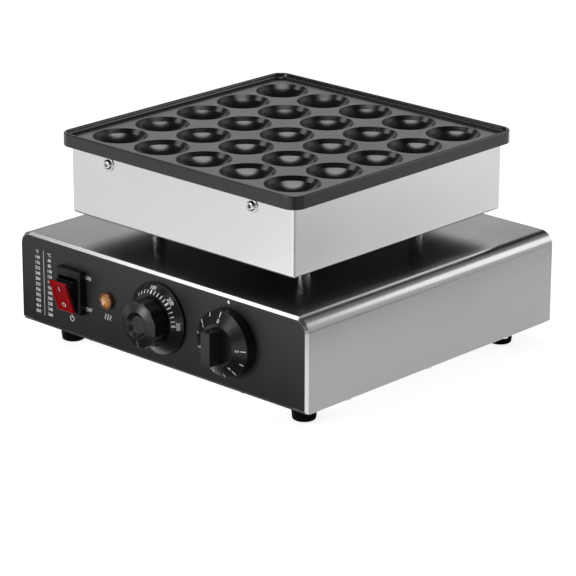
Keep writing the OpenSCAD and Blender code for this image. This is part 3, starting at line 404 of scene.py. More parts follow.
# %% Coatings, plastics and inks
# Each row: name, colour, roughness, grains per metre, height and strength of the relief, gloss
GRAINS = {
    "coated_casting": ("satin_plate_coating", (0.004, 0.004, 0.0045), 0.21, 2600, mm(0.008), 0.08, 0.56),
    "fibre_blanket": ("fibre_blanket", (0.74, 0.72, 0.66), 0.9, 700, mm(0.3), 0.7, 0.2),
    "overlay_film": ("panel_film", (0.012, 0.012, 0.0122), 0.42, 3200, mm(0.01), 0.15, 0.4),
    "black_plastic": ("black_plastic", (0.005, 0.005, 0.0052), 0.34, 1800, mm(0.02), 0.2, 0.3),
    "knob_plastic": ("knob_plastic", (0.005, 0.005, 0.0053), 0.27, 2200, mm(0.012), 0.2, 0.4),
    "red_plastic": ("switch_red", (0.27, 0.001, 0.0035), 0.2, 900, mm(0.004), 0.1, 0.3),
    "amber_plastic": ("lamp_collar", (0.11, 0.032, 0.006), 0.14, 900, mm(0.004), 0.1, 0.6),
    "pale_moulding": ("pale_moulding", (0.75, 0.73, 0.68), 0.5, 1400),
    "foot_rubber": ("foot_rubber", (0.003, 0.003, 0.003), 0.7, 900, mm(0.05), 0.4, 0.03),
    "lead_sleeve": ("lead_sleeve", (0.62, 0.6, 0.55), 0.6, 1600, mm(0.05), 0.4, 0.3),
}
finishes.update({slot: grain_finish(*row) for slot, row in GRAINS.items()})
RED_GLOSS = (1, 0.06, 0.1, 1)
red_shader = finishes["red_plastic"].node_tree.nodes["Principled BSDF"]
red_shader.inputs["Specular Tint"].default_value = RED_GLOSS
# A near-black sheet for the casing's hidden floor: painted shade that keeps the gap under the casing dark.
painted_shade_underside = grain_finish("painted_shade_sheet", (0.03, 0.03, 0.031), 0.55, 1200, gloss=0.2)
INK_SURFACE = (0.55, 2400, mm(0.004), 0.1, 0.3, 0.04)
ink_white = grain_finish("white_print", (0.78, 0.78, 0.78), *INK_SURFACE)
ink_grey = grain_finish("grey_print", (0.15, 0.152, 0.155), *INK_SURFACE)
print(len(finishes), "finishes for slots, and five more")

# %% [markdown]
# ## The cast plate
#
# The plate is one casting: a square with round corners, a low rim, a flat land and 25 round pockets. A rim
# like this could be swept along a curve, but stepping one face inwards follows the outline by itself and
# leaves clean rings. The blank starts a little above the flange's foot so that its lower edge can be
# rounded afterwards, from below.

# %% Plate outline and rim
plate_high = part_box("grill_plate")[1]
plate_half = plate_high.x
rim_top = plate_high.z
RIM_HEIGHT = mm(4)
RIM_WIDTH = mm(3)
FLANGE = mm(7.5)
PLATE_CORNER = mm(12)
RIM_ROUND = mm(1.1)
ROOT_ROUND = mm(1.6)
RIM_DRAFT = mm(0.2)
LAND_STEP = mm(0.4)
EDGE_ROUND = mm(0.8)
land = rim_top - RIM_HEIGHT
flange_foot = land - FLANGE

drop_selection()
bpy.ops.mesh.primitive_plane_add(size=2 * plate_half, location=(0, 0, flange_foot + EDGE_ROUND))
plate = open_blank("plate_casting")
bpy.ops.mesh.bevel(offset=PLATE_CORNER, segments=12, affect="VERTICES")
pick_all()
draw_out(z=rim_top - RIM_ROUND - flange_foot - EDGE_ROUND)
step_in(round_over(RIM_ROUND))
step_in([(RIM_WIDTH - 2 * RIM_ROUND, 0)])
step_in(roll_down(RIM_ROUND))
step_in([(RIM_DRAFT, RIM_ROUND + ROOT_ROUND - RIM_HEIGHT)])
step_in(floor_fillet(ROOT_ROUND))
step_in([(LAND_STEP, 0)])
bpy.ops.mesh.delete(type="ONLY_FACE")
turn_outwards()
print("rim rings:", len(bmesh.from_edit_mesh(plate.data).faces), "faces")

# %% Plate underside
BODY_HALF = mm(127.5)
UNDERSIDE = mm(13.5) + RIM_HEIGHT
print("underside faces:", pick("FACE", lambda face: face.calc_area() > plate_half ** 2))
step_in(round_over(EDGE_ROUND))
step_in([(plate_half - EDGE_ROUND - BODY_HALF, 0)])
draw_out(z=rim_top - UNDERSIDE - flange_foot)
leave_edit()

# %% [markdown]
# ## One pocket, and then all of them
#
# A pocket has a small rounded lip, a steep wall and a shallow dish below a crease. It could be spun from
# its profile, but stepping one disc inwards gives the same rings and stays easy to correct. The land
# between the lip and a square of the same pitch is filled. Two arrays turn that one tile into the whole
# field, and a second fill joins the field to the rim.

# %% Pocket sizes
POCKET_COUNT = 5
PITCH = mm(50)
MOUTH = mm(23.4)
POCKET_DEPTH = mm(10.5)
WALL_DROP = mm(3.6)
WALL_RUN = mm(3.2)
LIP_ROUND = mm(0.4)
CREASE_ROUND = mm(0.9)
POCKET_SIDES = 80
dish_foot = MOUTH - WALL_RUN
dish_drop = POCKET_DEPTH - WALL_DROP
dish_ball = (dish_foot**2 + dish_drop**2) / (2 * dish_drop)
wall_angle = math.atan2(WALL_DROP, WALL_RUN)
dish_angle = math.asin(dish_foot / dish_ball)
lip_reach = LIP_ROUND * math.tan(wall_angle / 2)
crease_reach = CREASE_ROUND * math.tan((wall_angle - dish_angle) / 2)
wall_length = math.hypot(WALL_DROP, WALL_RUN) - lip_reach - crease_reach
print("wall at", round(math.degrees(wall_angle)), "degrees, dish edge at", round(math.degrees(dish_angle)))

# %% Steps down a pocket
LIP_RINGS = 4
CREASE_RINGS = 3
DISH_RINGS = 10


def arc_down(radius, first, last, count):
    """Steps along an arc, from one slope to another."""
    slopes = [first + (last - first) * k / count for k in range(count + 1)]
    return [
        (radius * abs(math.sin(b) - math.sin(a)), -radius * abs(math.cos(a) - math.cos(b)))
        for a, b in zip(slopes, slopes[1:])
    ]


dish_start = math.asin((dish_foot - crease_reach * math.cos(dish_angle)) / dish_ball)
pocket_steps = arc_down(LIP_ROUND, 0, wall_angle, LIP_RINGS)
pocket_steps.append((wall_length * math.cos(wall_angle), -wall_length * math.sin(wall_angle)))
pocket_steps += arc_down(CREASE_ROUND, wall_angle, dish_angle, CREASE_RINGS)
pocket_steps += arc_down(dish_ball, dish_start, dish_start / (DISH_RINGS + 1), DISH_RINGS)
pocket_drop = sum(depth for inset, depth in pocket_steps)
print(len(pocket_steps), "steps, down to", round(pocket_drop * 1000, 2), "mm")

# %% The pocket tile
first_pocket = -(POCKET_COUNT - 1) / 2 * PITCH
drop_selection()
corner = (first_pocket, first_pocket, land)
bpy.ops.mesh.primitive_circle_add(
    vertices=POCKET_SIDES, radius=MOUTH + lip_reach, fill_type="NGON", location=corner
)
tile = open_blank("pocket_tile")
step_in(pocket_steps)
bpy.ops.mesh.poke()
bpy.ops.mesh.primitive_plane_add(size=PITCH, location=corner)
bpy.ops.mesh.delete(type="ONLY_FACE")
pick("EDGE", lambda edge: len(edge.link_faces) < 2)
bpy.ops.mesh.fill()
leave_edit()
print("tile:", len(tile.data.polygons), "faces")

# %% The field of pockets
for offset in ((PITCH, 0, 0), (0, PITCH, 0)):
    work(
        tile,
        "ARRAY",
        count=POCKET_COUNT,
        use_relative_offset=False,
        use_constant_offset=True,
        constant_offset_displace=offset,
        use_merge_vertices=True,
        merge_threshold=TINY,
    )
join(plate, tile)
edit(plate)
print("open edges:", pick("EDGE", lambda edge: edge.is_boundary))
bpy.ops.mesh.fill()
LUG = Vector((mm(18), mm(12), mm(8.8)))
SCREW_X = mm(83.4)
lug_y = BODY_HALF - LUG.y / 2
lug_z = rim_top - UNDERSIDE - LUG.z / 2
for side_x in (-1, 1):
    for side_y in (-1, 1):
        place = (side_x * SCREW_X, side_y * lug_y, lug_z)
        bpy.ops.mesh.primitive_cube_add(size=1, scale=LUG, location=place)
close_up(plate)
shade(plate, angle=32)
settle(plate, "coated_casting", stands_for=["grill_plate"])

# %% [markdown]
# ## The heater casing
#
# The casing is bent from bright sheet and meets itself in a fine seam at each upright edge, with its lower
# edge folded under. It starts as the same kind of rounded square, which is drawn up to the plate, and its
# lower face is stepped round the fold. The middle corners of each bend are then drawn in a little to make
# the seam, and Solidify gives the sheet its thickness.

# %% Casing sheet
casing_low, casing_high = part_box("heater_casing")
CASING_BEND = mm(2.5)
CASING_FOLD = mm(2)
CASING_LIP = mm(4)
SEAM_DEPTH = mm(0.5)
SHEET = mm(1)
fold_top = casing_low.z + CASING_FOLD
drop_selection()
bpy.ops.mesh.primitive_plane_add(size=2 * casing_high.x, location=(0, 0, fold_top))
casing = open_blank("casing_sheet")
bpy.ops.mesh.bevel(offset=CASING_BEND, segments=8, affect="VERTICES")
pick_all()
draw_out(z=casing_high.z - casing_low.z - CASING_FOLD)
turn_outwards()
pick("FACE", lambda face: face.normal.z < -NEARLY)
step_in(round_over(CASING_FOLD))
step_in([(CASING_LIP, 0)])
pick("FACE", lambda face: abs(face.normal.z) > NEARLY and face.calc_area() > casing_high.x ** 2)
bpy.ops.mesh.delete(type="FACE")
print("casing sides:", len(bmesh.from_edit_mesh(casing.data).faces), "faces")

# %% Casing seams


def on_seam(corner):
    """True for the middle corners of the upright bends, above the fold."""
    in_middle = abs(abs(corner.co.x) - abs(corner.co.y)) < 2 * TINY
    return in_middle and corner.co.z > fold_top - mm(0.1)


print("seam corners:", pick("VERT", on_seam))
seam_at = casing_high.x - CASING_BEND * (1 - math.sqrt(0.5))
shrink = 1 - SEAM_DEPTH / seam_at
bpy.ops.transform.resize(value=(shrink, shrink, 1), center_override=(0, 0, casing_low.z))
close_up(casing)
work(casing, "SOLIDIFY", thickness=SHEET, offset=-1)
shade(casing, angle=40)
settle(casing, "stainless", stands_for=["heater_casing"], finish=casing_steel)

# %% [markdown]
# ## Blanks that look to the front
#
# Screws, switch, lamp, dial and knobs all look to the front, so their blanks are turned that way from the
# start. Cutters stand out by a millimetre, so that a cut never ends on the face that it passes through.

# %% Discs, bars and blocks


def facing_disc(name, radius, sides, x, y, z, way=1):
    """A filled disc that looks to the front, or to the rear with a way of -1, open for editing."""
    drop_selection()
    turn = (way * math.pi / 2, 0, 0)
    bpy.ops.mesh.primitive_circle_add(
        vertices=sides, radius=radius, fill_type="NGON", location=(x, y, z), rotation=turn
    )
    return open_blank(name)


def facing_bar(name, radius, sides, x, z, front, back):
    """A closed bar along Y, as a cutter."""
    drop_selection()
    place = (x, (front + back) / 2, z)
    bpy.ops.mesh.primitive_cylinder_add(
        vertices=sides, radius=radius, depth=back - front, location=place, rotation=(math.pi / 2, 0, 0)
    )
    bar = open_blank(name)
    leave_edit()
    return bar


def facing_block(name, width, height, x, z, front, back):
    """A block with a front and a back, open for editing."""
    drop_selection()
    bpy.ops.mesh.primitive_cube_add(
        size=1, scale=(width, back - front, height), location=(x, (front + back) / 2, z)
    )
    return open_blank(name)


def closed_block(*sizes):
    block = facing_block(*sizes)
    leave_edit()
    return block


def soften(piece, width, segments=3, angle=35):
    """Bevel all edges above an angle."""
    work(
        piece,
        "BEVEL",
        width=width,
        segments=segments,
        limit_method="ANGLE",
        angle_limit=math.radians(angle),
        use_clamp_overlap=True,
    )


print("blanks ready")

# %% [markdown]
# ## Screws and washers of the casing
#
# Button-head screws with a hexagon socket hold the casing to the plate, two in front and two behind. One
# head is stepped up from a disc along a flat dome, the socket is cut by a six-sided bar, and the set is
# copied from that one.

# %% One screw and one washer
HEAD_R = mm(4.25)
HEAD_H = mm(2.6)
HEAD_WALL = mm(0.5)
SOCKET_R = mm(1.95)
SOCKET_RIM = SOCKET_R * 1.25
SOCKET_DEPTH = mm(1.6)
WASHER_R = mm(6)
WASHER = mm(1)
WASHER_EDGE = mm(0.25)
SCREW_SIDES = 48
DOME_RINGS = 7
screw_low, screw_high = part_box("casing_screws")
screw_z = (screw_low.z + screw_high.z) / 2
casing_face = casing_low.y
washer_face = casing_face - WASHER
head_face = washer_face - HEAD_H
washer = facing_disc("casing_washer_set", WASHER_R, SCREW_SIDES, -SCREW_X, casing_face, screw_z)
draw_out(y=WASHER_EDGE - WASHER)
step_in(round_over(WASHER_EDGE, 3))
close_up(washer)
head = facing_disc("casing_screw_set", HEAD_R, SCREW_SIDES, -SCREW_X, washer_face, screw_z)
draw_out(y=-HEAD_WALL)
dome = round_over(1, DOME_RINGS)
step_in([(inset * (HEAD_R - SOCKET_RIM), depth * (HEAD_H - HEAD_WALL)) for inset, depth in dome])
close_up(head)
socket = facing_bar("socket", SOCKET_R, 6, -SCREW_X, screw_z, head_face - CLEAR, head_face + SOCKET_DEPTH)
cut_with(head, socket)

# %% Copy the screws round the casing


def copy_round(piece):
    """Copies to the other front corner and, turned about, to the rear."""
    shade(piece)
    places = ((0, 2 * SCREW_X), (math.pi, 0), (math.pi, -2 * SCREW_X))
    join(piece, *[copy_turned(piece, turn, shift) for turn, shift in places])


copy_round(washer)
copy_round(head)
settle(washer, "zinc_steel", stands_for=["casing_washers"])
settle(head, "bright_steel", stands_for=["casing_screws"])

# %% [markdown]
# ## The base cover
#
# One sheet makes the top and both sides of the base, with hemmed ends of double thickness and narrow
# flanges below. A cube gives the form: its long edges are bevelled, the ends and the bottom come off, and
# the flanges are drawn inwards. The hems are the same arch, short and thick. The fold presses their outer
# edge flat, so it gets a bevel of one segment, which catches the light as one fine line. Those faces also
# get a brighter copy of the steel, a painted highlight.

# %% Sheet arch
cover_low, cover_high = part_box("base_cover")
COVER_BEND = mm(12)
COVER_SHEET = mm(1.2)
COVER_FLANGE = mm(15)
cover_size = cover_high - cover_low
cover_mid = (cover_low + cover_high) / 2


def long_top_edge(edge):
    at_top = all(end.co.z > cover_high.z - TINY for end in edge.verts)
    return at_top and abs(edge.verts[0].co.x - edge.verts[1].co.x) < TINY


def sheet_arch(name, y_front, y_back, sheet):
    """Top, bent sides and flanges of the sheet, from one depth to another."""
    arch = facing_block(name, cover_size.x, cover_size.z, 0, cover_mid.z, y_front, y_back)
    pick("EDGE", long_top_edge)
    bpy.ops.mesh.bevel(offset=COVER_BEND, segments=14, affect="EDGES")
    pick("FACE", lambda face: abs(face.normal.y) > NEARLY or face.normal.z < -NEARLY)
    bpy.ops.mesh.delete(type="FACE")
    foot = cover_low.z + TINY
    for side in (-1, 1):
        pick("EDGE", lambda edge: all(end.co.z < foot and end.co.x * side > 0 for end in edge.verts))
        draw_out(x=-side * COVER_FLANGE)
    close_up(arch)
    work(arch, "SOLIDIFY", thickness=sheet, offset=-1, use_even_offset=True)
    return arch


HEM_DEPTH = mm(8)
hem_back = cover_low.y + HEM_DEPTH
cover = sheet_arch("base_cover_sheet", hem_back, cover_high.y - HEM_DEPTH, COVER_SHEET)
hem = sheet_arch("hem", cover_low.y, hem_back, 2 * COVER_SHEET)

# %% Hems
HEM_EDGE = mm(2.2)
ACROSS = 0.5


def faces_out(face):
    """True for a face of the sheet that looks away from the base's middle."""
    reach = face.calc_center_median() - cover_mid
    return abs(face.normal.y) < ACROSS and reach.x * face.normal.x + reach.z * face.normal.z > 0


def outer_hem_edge(edge):
    at_front = all(end.co.y < cover_low.y + TINY for end in edge.verts)
    ends = any(abs(face.normal.y) > ACROSS for face in edge.link_faces)
    return at_front and ends and any(faces_out(face) for face in edge.link_faces)


edit(hem)
print("hem edges:", pick("EDGE", outer_hem_edge))
bpy.ops.mesh.bevel(offset=HEM_EDGE, segments=1, affect="EDGES")
close_up(hem)
join(cover, hem, copy_turned(hem, math.pi))
shade(cover)
settle(cover, "stainless", stands_for=["base_cover"])

# %% Painted highlight on the folds of the hems
HIGHLIGHT_FACE_SLOPE = (0.3, 0.9)
# The slanted fold faces get the brighter steel, a painted highlight along the hem edge.
cover.data.materials.append(painted_highlight_steel)
edit(cover)
print("fold faces:", pick("FACE", lambda face: HIGHLIGHT_FACE_SLOPE[0] < abs(face.normal.y) < HIGHLIGHT_FACE_SLOPE[1]))
cover.active_material_index = 1
bpy.ops.object.material_slot_assign()
leave_edit()

# %% [markdown]
# ## The rocker switch
#
# The switch has a deep black frame with a fine raised lip round its opening, and a red cap that tips about
# a pin. The frame is a block with softened front edges, its lip is a second block, and the opening is cut
# through both. The cap is modelled flat about its pin and then tipped to its off position, with two thin
# black lips of the rocker behind it.

# %% Switch frame
panel_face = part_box("panel_overlay")[0].y
frame_low, frame_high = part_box("switch_frame")
frame_size = frame_high - frame_low
switch_x = (frame_low.x + frame_high.x) / 2
control_z = (frame_low.z + frame_high.z) / 2
LIP = mm(0.5)
LIP_WIDTH = mm(1.7)
LIP_BACK = panel_face - mm(3)
OPENING = (mm(22.4), mm(25.42))
FRAME_EDGE = mm(0.9)
FINE_EDGE = mm(0.25)
middle = (switch_x, control_z)
lip_size = [side + 2 * LIP_WIDTH for side in OPENING]

surround_size = (frame_size.x, frame_size.z)
switch_surround = facing_block("switch_surround", *surround_size, *middle, frame_low.y + LIP, panel_face)
pick("EDGE", lambda edge: any(end.co.y < panel_face - CLEAR for end in edge.verts))
bpy.ops.mesh.bevel(offset=FRAME_EDGE, segments=4, affect="EDGES")
leave_edit()
cut_with(switch_surround, closed_block("lip", *lip_size, *middle, frame_low.y, LIP_BACK), "UNION")
cut_with(
    switch_surround, closed_block("opening", *OPENING, *middle, frame_low.y - CLEAR, panel_face + CLEAR)
)
edit(switch_surround)
close_up(switch_surround)
soften(switch_surround, FINE_EDGE, 2, angle=40)
shade(switch_surround, angle=35)
settle(switch_surround, "black_plastic", stands_for=["switch_frame"])

# %% Rocker cap
PIVOT_Y = mm(-159.7)
CAP_REACH = mm(11.5)
CAP = Vector((mm(21), mm(2), mm(30)))
CAP_TILT = math.radians(19)
CAP_EDGE = mm(1.3)
CAP_DISH = mm(0.6)
DISH_STEPS = [(mm(0.5), 0), (mm(0.9), -CAP_DISH * 0.7), (mm(2.2), -CAP_DISH * 0.3)]
FLAT = 0.99
about_pin = Matrix.Translation((switch_x, PIVOT_Y, control_z)) @ Matrix.Rotation(CAP_TILT, 4, "X")
cap = facing_block("switch_cap", CAP.x, CAP.z, 0, 0, -CAP_REACH, CAP.y - CAP_REACH)
pick("EDGE", lambda edge: any(end.co.y < 10 * TINY - CAP_REACH for end in edge.verts))
bpy.ops.mesh.bevel(offset=CAP_EDGE, segments=5, affect="EDGES")
pick("FACE", lambda face: face.normal.y < -FLAT)
step_in(DISH_STEPS)
close_up(cap)
shade(cap, angle=40)
lay(cap, about_pin)
settle(cap, "red_plastic", "power_rocker", ["rocker_cap"])

# %% Rocker lips
# Width, height, middle in x and z, front and back of each lip, seen from the pin
OUTER_LIP = (mm(22.2), mm(30.6), 0, 0, mm(-9.5), mm(-8.8))
INNER_LIP = (mm(21.4), mm(24.4), 0, 0, mm(-3.6), mm(-2.4))
rocker_lips = facing_block("rocker_lips", *OUTER_LIP)
close_up(rocker_lips)
inner_lip = facing_block("inner_lip", *INNER_LIP)
close_up(inner_lip)
join(rocker_lips, inner_lip)
soften(rocker_lips, mm(0.3))
shade(rocker_lips)
lay(rocker_lips, about_pin)
settle(rocker_lips, "black_plastic", "power_rocker")

# %% [markdown]
# ## Lettering
#
# Words and numbers are text made into a mesh and laid a hair in front of what carries them. Every place is
# a matrix whose flat side looks at the reader, so the same helpers serve the panel, the dial, the tipped
# cap and the sloping skirt of the timer. Strokes are thin plates laid the same way.

# %% Text, strokes and signs
INK = mm(0.02)
LIFT = mm(0.03)
CAP_SHARE = 0.72
USUAL_WEIGHT = 0.012


def lettering(words, cap_height, place, weight=USUAL_WEIGHT):
    drop_selection()
    bpy.ops.object.text_add()
    text = bpy.context.object
    text.data.body = words
    text.data.align_x = "CENTER"
    text.data.align_y = "CENTER"
    text.data.size = cap_height / CAP_SHARE
    text.data.extrude = INK
    text.data.offset = cap_height * weight
    text.data.resolution_u = 4
    bpy.ops.object.convert(target="MESH")
    return lay(bpy.context.object, place)


def stroke(width, length, place):
    drop_selection()
    bpy.ops.mesh.primitive_plane_add(size=1, location=(0, 0, -INK))
    mark = open_blank("stroke")
    bpy.ops.transform.resize(value=(width, length, 1), center_override=(0, 0, 0))
    draw_out(z=2 * INK)
    leave_edit()
    return lay(mark, place)


def spot(radius, place, hole=0):
    """A printed dot, or a ring where a hole is given."""
    drop_selection()
    bpy.ops.mesh.primitive_circle_add(vertices=40, radius=radius, fill_type="NGON", location=(0, 0, INK))
    mark = open_blank("spot")
    if hole:
        step_in([(radius - hole, 0)])
        bpy.ops.mesh.delete(type="FACE")
    leave_edit()
    return lay(mark, place)


def heat_wave(width, length, place):
    """A stroke that sways once from side to side."""
    drop_selection()
    bpy.ops.mesh.primitive_grid_add(x_subdivisions=1, y_subdivisions=16, size=1, location=(0, 0, INK))
    mark = open_blank("wave")
    bpy.ops.transform.resize(value=(width, length, 1), center_override=(0, 0, 0))
    shape = bmesh.from_edit_mesh(mark.data)
    for corner in shape.verts:
        corner.co.x += width * math.sin(2 * math.pi * corner.co.y / length)
    bmesh.update_edit_mesh(mark.data)
    leave_edit()
    return lay(mark, place)


print("marks ready")

# %% Places for marks
LOOK_FORWARD = Matrix.Rotation(math.pi / 2, 4, "X")


def on_panel(x, z):
    return Matrix.Translation((mm(x), panel_face - LIFT, mm(z))) @ LOOK_FORWARD


def on_cone(x, rim_y, rim_r, slope, clockwise, radius):
    """A place on a sloping ring, a hair above it, turned so that the mark's top looks outwards."""
    up = (rim_r - radius) * math.tan(slope)
    centre = Matrix.Translation((x, rim_y - up - 2 * LIFT, control_z))
    turn = Matrix.Rotation(math.radians(-clockwise), 4, "Z")
    outwards = Matrix.Translation((0, radius, 0))
    return centre @ LOOK_FORWARD @ turn @ outwards @ Matrix.Rotation(-slope, 4, "X")


def print_piece(name, marks, slot, body="base", ink=ink_white):
    piece = join(*marks)
    piece.name = name
    piece.data.name = name
    settle(piece, slot, body, finish=ink)


SIGN_HEIGHT = mm(4.2)
SIGN_OFFSET = mm(8)
cap_signs = []
for sign, up in (("I", SIGN_OFFSET), ("O", -SIGN_OFFSET)):
    on_cap = about_pin @ Matrix.Translation((0, CAP_DISH - CAP_REACH - LIFT, up)) @ LOOK_FORWARD
    cap_signs.append(lettering(sign, SIGN_HEIGHT, on_cap))
print_piece("cap_signs", cap_signs, "red_plastic", "power_rocker")

# %% [markdown]
# ## Print on the front film
#
# The film carries the words for on and off, a sign for power and one for heat, a dot for the timer, and a
# plain table of temperatures in two columns. The table counts in steps of twenty degrees. Places on the film
# are in millimetres.

# %% Words and signs
WORD_HEIGHT = mm(3.3)
ON_PLACE = (-83.7, 75.2)
OFF_PLACE = (-83.6, 47)
DOT_PLACE = (82, 94.3)
DOT_R = mm(1.5)
POWER_X = -104.5
POWER_Z = 34.6
POWER_R = (mm(2.7), mm(2))
POWER_GAP = (mm(36), mm(1.2))
POWER_BAR = (mm(0.7), mm(2.8))
POWER_BAR_Z = 36.4
HEAT_X = -60
HEAT_Z = 46.4
HEAT_PITCH = 3
WAVE = (mm(0.8), mm(5.2))


def in_power_gap(face):
    middle = face.calc_center_median()
    return middle.z > POWER_GAP[0] and abs(middle.x - mm(POWER_X)) < POWER_GAP[1]


panel_marks = [
    lettering("ON", WORD_HEIGHT, on_panel(*ON_PLACE)),
    lettering("OFF", WORD_HEIGHT, on_panel(*OFF_PLACE)),
    spot(DOT_R, on_panel(*DOT_PLACE)),
]
power_ring = spot(POWER_R[0], on_panel(POWER_X, POWER_Z), POWER_R[1])
edit(power_ring)
pick("FACE", in_power_gap)
bpy.ops.mesh.delete(type="FACE")
leave_edit()
panel_marks += [power_ring, stroke(*POWER_BAR, on_panel(POWER_X, POWER_BAR_Z))]
panel_marks += [heat_wave(*WAVE, on_panel(HEAT_X + k * HEAT_PITCH, HEAT_Z)) for k in (-1, 0, 1)]
print_piece("panel_print", panel_marks, "overlay_film")

# %% Table of temperatures
TABLE_TOP = 84.6
TABLE_PITCH = 4.87
TABLE_NUMBER = mm(2.9)
TABLE_LINE = (mm(0.45), mm(59))
TABLE_LINE_PLACE = (-139.2, 58)
COLUMNS = (-132, -147)
BOLD = 0.022
table_rows = [("\N{DEGREE SIGN}C", "\N{DEGREE SIGN}F")]
table_rows += [(str(warm), str(warm * 9 // 5 + 32)) for warm in range(60, 261, 20)]
table_marks = [stroke(*TABLE_LINE, on_panel(*TABLE_LINE_PLACE))]
for row, words in enumerate(table_rows):
    for x, word in zip(COLUMNS, words):
        place = on_panel(x, TABLE_TOP - TABLE_PITCH * row)
        table_marks.append(lettering(word, TABLE_NUMBER, place, BOLD))
print_piece("panel_table", table_marks, "overlay_film")

# %% [markdown]
# ## The lamp
#
# The lamp is a low amber lens with a diamond pattern pressed into its front, in a darker collar. A grid of
# squares is turned on its corner and each square is poked down into a pit. The lens is what that block and
# a round bar have in common. The colour darkens with depth, a painted shade in the pits.

# %% Amber with painted shade in the pits
lens_low, lens_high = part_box("lamp_lens")
FACET = mm(0.7)
RIDGE_AMBER = (0.86, 0.4, 0.13)
# A dark amber for the pits, a painted shade; the colour goes over to it with depth.
PIT_SHADE_AMBER = (0.1, 0.022, 0.002)
PIT_SHADE_SPAN = (lens_low.y + FACET, lens_low.y + 2.3 * FACET)
lens_amber, tree, shader = new_finish("lens_amber")
depth = tree.nodes.new("ShaderNodeSeparateXYZ")
tree.links.new(object_place(tree), depth.inputs[0])
pit_shade = map_value(tree, depth.outputs["Y"], PIT_SHADE_SPAN, (0, 1))
tint(tree, pit_shade, RIDGE_AMBER, PIT_SHADE_AMBER, shader.inputs["Base Color"])
shader.inputs["Roughness"].default_value = 0.12
print("amber made")

# %% Lamp lens
LENS_R = mm(7.5)
LENS_RIM = mm(0.9)
LENS_DOME = mm(0.7)
LENS_BLANK = 3.2 * LENS_R
CELLS = 9
LAMP_SIDES = 64
lamp_x = (lens_low.x + lens_high.x) / 2
drop_selection()
bpy.ops.mesh.primitive_grid_add(
    x_subdivisions=CELLS,
    y_subdivisions=CELLS,
    size=LENS_BLANK,
    location=(lamp_x, lens_low.y + 2 * FACET, control_z),
    rotation=(math.pi / 2, math.pi / 4, 0),
)
lens = open_blank("lamp_lens_facets")
draw_out(y=-FACET)
bpy.ops.mesh.poke(offset=-FACET)
shape = bmesh.from_edit_mesh(lens.data)
for corner in shape.verts:
    off_axis = math.hypot(corner.co.x - lamp_x, corner.co.z - control_z)
    corner.co.y += LENS_DOME * (off_axis / LENS_R) ** 2
bmesh.update_edit_mesh(lens.data)
close_up(lens)
lens_front = lens_low.y - CLEAR
lens_bar = facing_bar("round", LENS_R - LENS_RIM, LAMP_SIDES, lamp_x, control_z, lens_front, panel_face)
cut_with(lens, lens_bar, "INTERSECT")

# %% Lamp collar
COLLAR_ROUND = mm(0.5)
COLLAR_FLAT = mm(0.5)
COLLAR_EDGE = mm(0.15)
COLLAR_DEEP = mm(1.2)
collar_out = panel_face - lens_low.y - FACET
ring = facing_disc("lamp_ring", LENS_R, LAMP_SIDES, lamp_x, panel_face, control_z)
draw_out(y=COLLAR_ROUND - collar_out)
step_in(round_over(COLLAR_ROUND))
step_in([(COLLAR_FLAT, 0)])
step_in(roll_down(COLLAR_EDGE, 2))
draw_out(y=COLLAR_DEEP)
close_up(ring)
shade(ring)
settle(lens, "amber_plastic", stands_for=["lamp_lens"], finish=lens_amber)
settle(ring, "amber_plastic")

# %% [markdown]
# ## The thermostat
#
# A fixed ring with numbers on a steep cone sits on the panel, and a fluted knob with a dished front turns
# in it. No tool makes flutes from a ring, so a small helper moves each corner of a disc in or out to its
# flute's arc. Then the disc is drawn out, scaled in ring by ring round its edge, which keeps the flutes
# clean, and stepped over the sloping face into the dish.

# %% Dial ring
dial_low, dial_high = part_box("thermostat_dial")
thermostat_x = (dial_low.x + dial_high.x) / 2
DIAL_R = (dial_high.x - dial_low.x) / 2
DIAL_RISE = mm(7)
DIAL_EDGE = mm(0.4)
DIAL_FLAT = mm(22.3)
DIAL_SIDES = 128
SHAFT_PASS = mm(12)
dial_thick = dial_high.y - dial_low.y
dial = facing_disc("dial_ring", DIAL_R, DIAL_SIDES, thermostat_x, panel_face, control_z)
draw_out(y=DIAL_EDGE + DIAL_RISE - dial_thick)
step_in(round_over(DIAL_EDGE))
step_in([(DIAL_R - DIAL_EDGE - DIAL_FLAT, DIAL_RISE)])
close_up(dial)
pass_ends = (dial_low.y - CLEAR, panel_face + CLEAR)
cut_with(dial, facing_bar("pass", SHAFT_PASS, 64, thermostat_x, control_z, *pass_ends))
shade(dial)
settle(dial, "black_plastic", stands_for=["thermostat_dial"], finish=finishes["knob_plastic"])

# %% Dial numbers
DEGREES_PER_C = 46 / 100
START_ANGLE = -48.6
DIAL_TICK = 24.4
DIAL_NUMBER = 27.4
REST_TICK = 178
NUMBER_HEIGHT = mm(3.4)
TICK_LENGTH = mm(3.4)
MAIN_TICK = mm(1.5)
SMALL_TICK = mm(0.8)
REST_TICK_WIDTH = mm(0.9)
dial_slope = math.atan2(DIAL_RISE, DIAL_R - DIAL_FLAT)


def on_dial(clockwise, radius):
    return on_cone(thermostat_x, dial_low.y + DIAL_RISE, DIAL_R, dial_slope, clockwise, mm(radius))


dial_marks = []
for warm in range(20, 301, 20):
    angle = START_ANGLE + DEGREES_PER_C * warm
    main = warm % 100 == 0
    dial_marks.append(stroke(MAIN_TICK if main else SMALL_TICK, TICK_LENGTH, on_dial(angle, DIAL_TICK)))
    if main:
        dial_marks.append(lettering(str(warm), NUMBER_HEIGHT, on_dial(angle, DIAL_NUMBER)))
dial_marks.append(stroke(REST_TICK_WIDTH, TICK_LENGTH, on_dial(REST_TICK, DIAL_TICK)))
print_piece("dial_print", dial_marks, "black_plastic")

# %% Knob outline
knob_low, knob_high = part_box("thermostat_knob")
KNOB_R = mm(20.5)
FLUTES = 12
FLUTE_STEPS = 12
FLUTE_R = mm(16)
FLUTE_DEPTH = mm(0.9)
flute_centre = KNOB_R + FLUTE_R - FLUTE_DEPTH
knob_sides = FLUTES * FLUTE_STEPS
knob = facing_disc("thermostat_grip", KNOB_R, knob_sides, thermostat_x, knob_high.y, control_z)


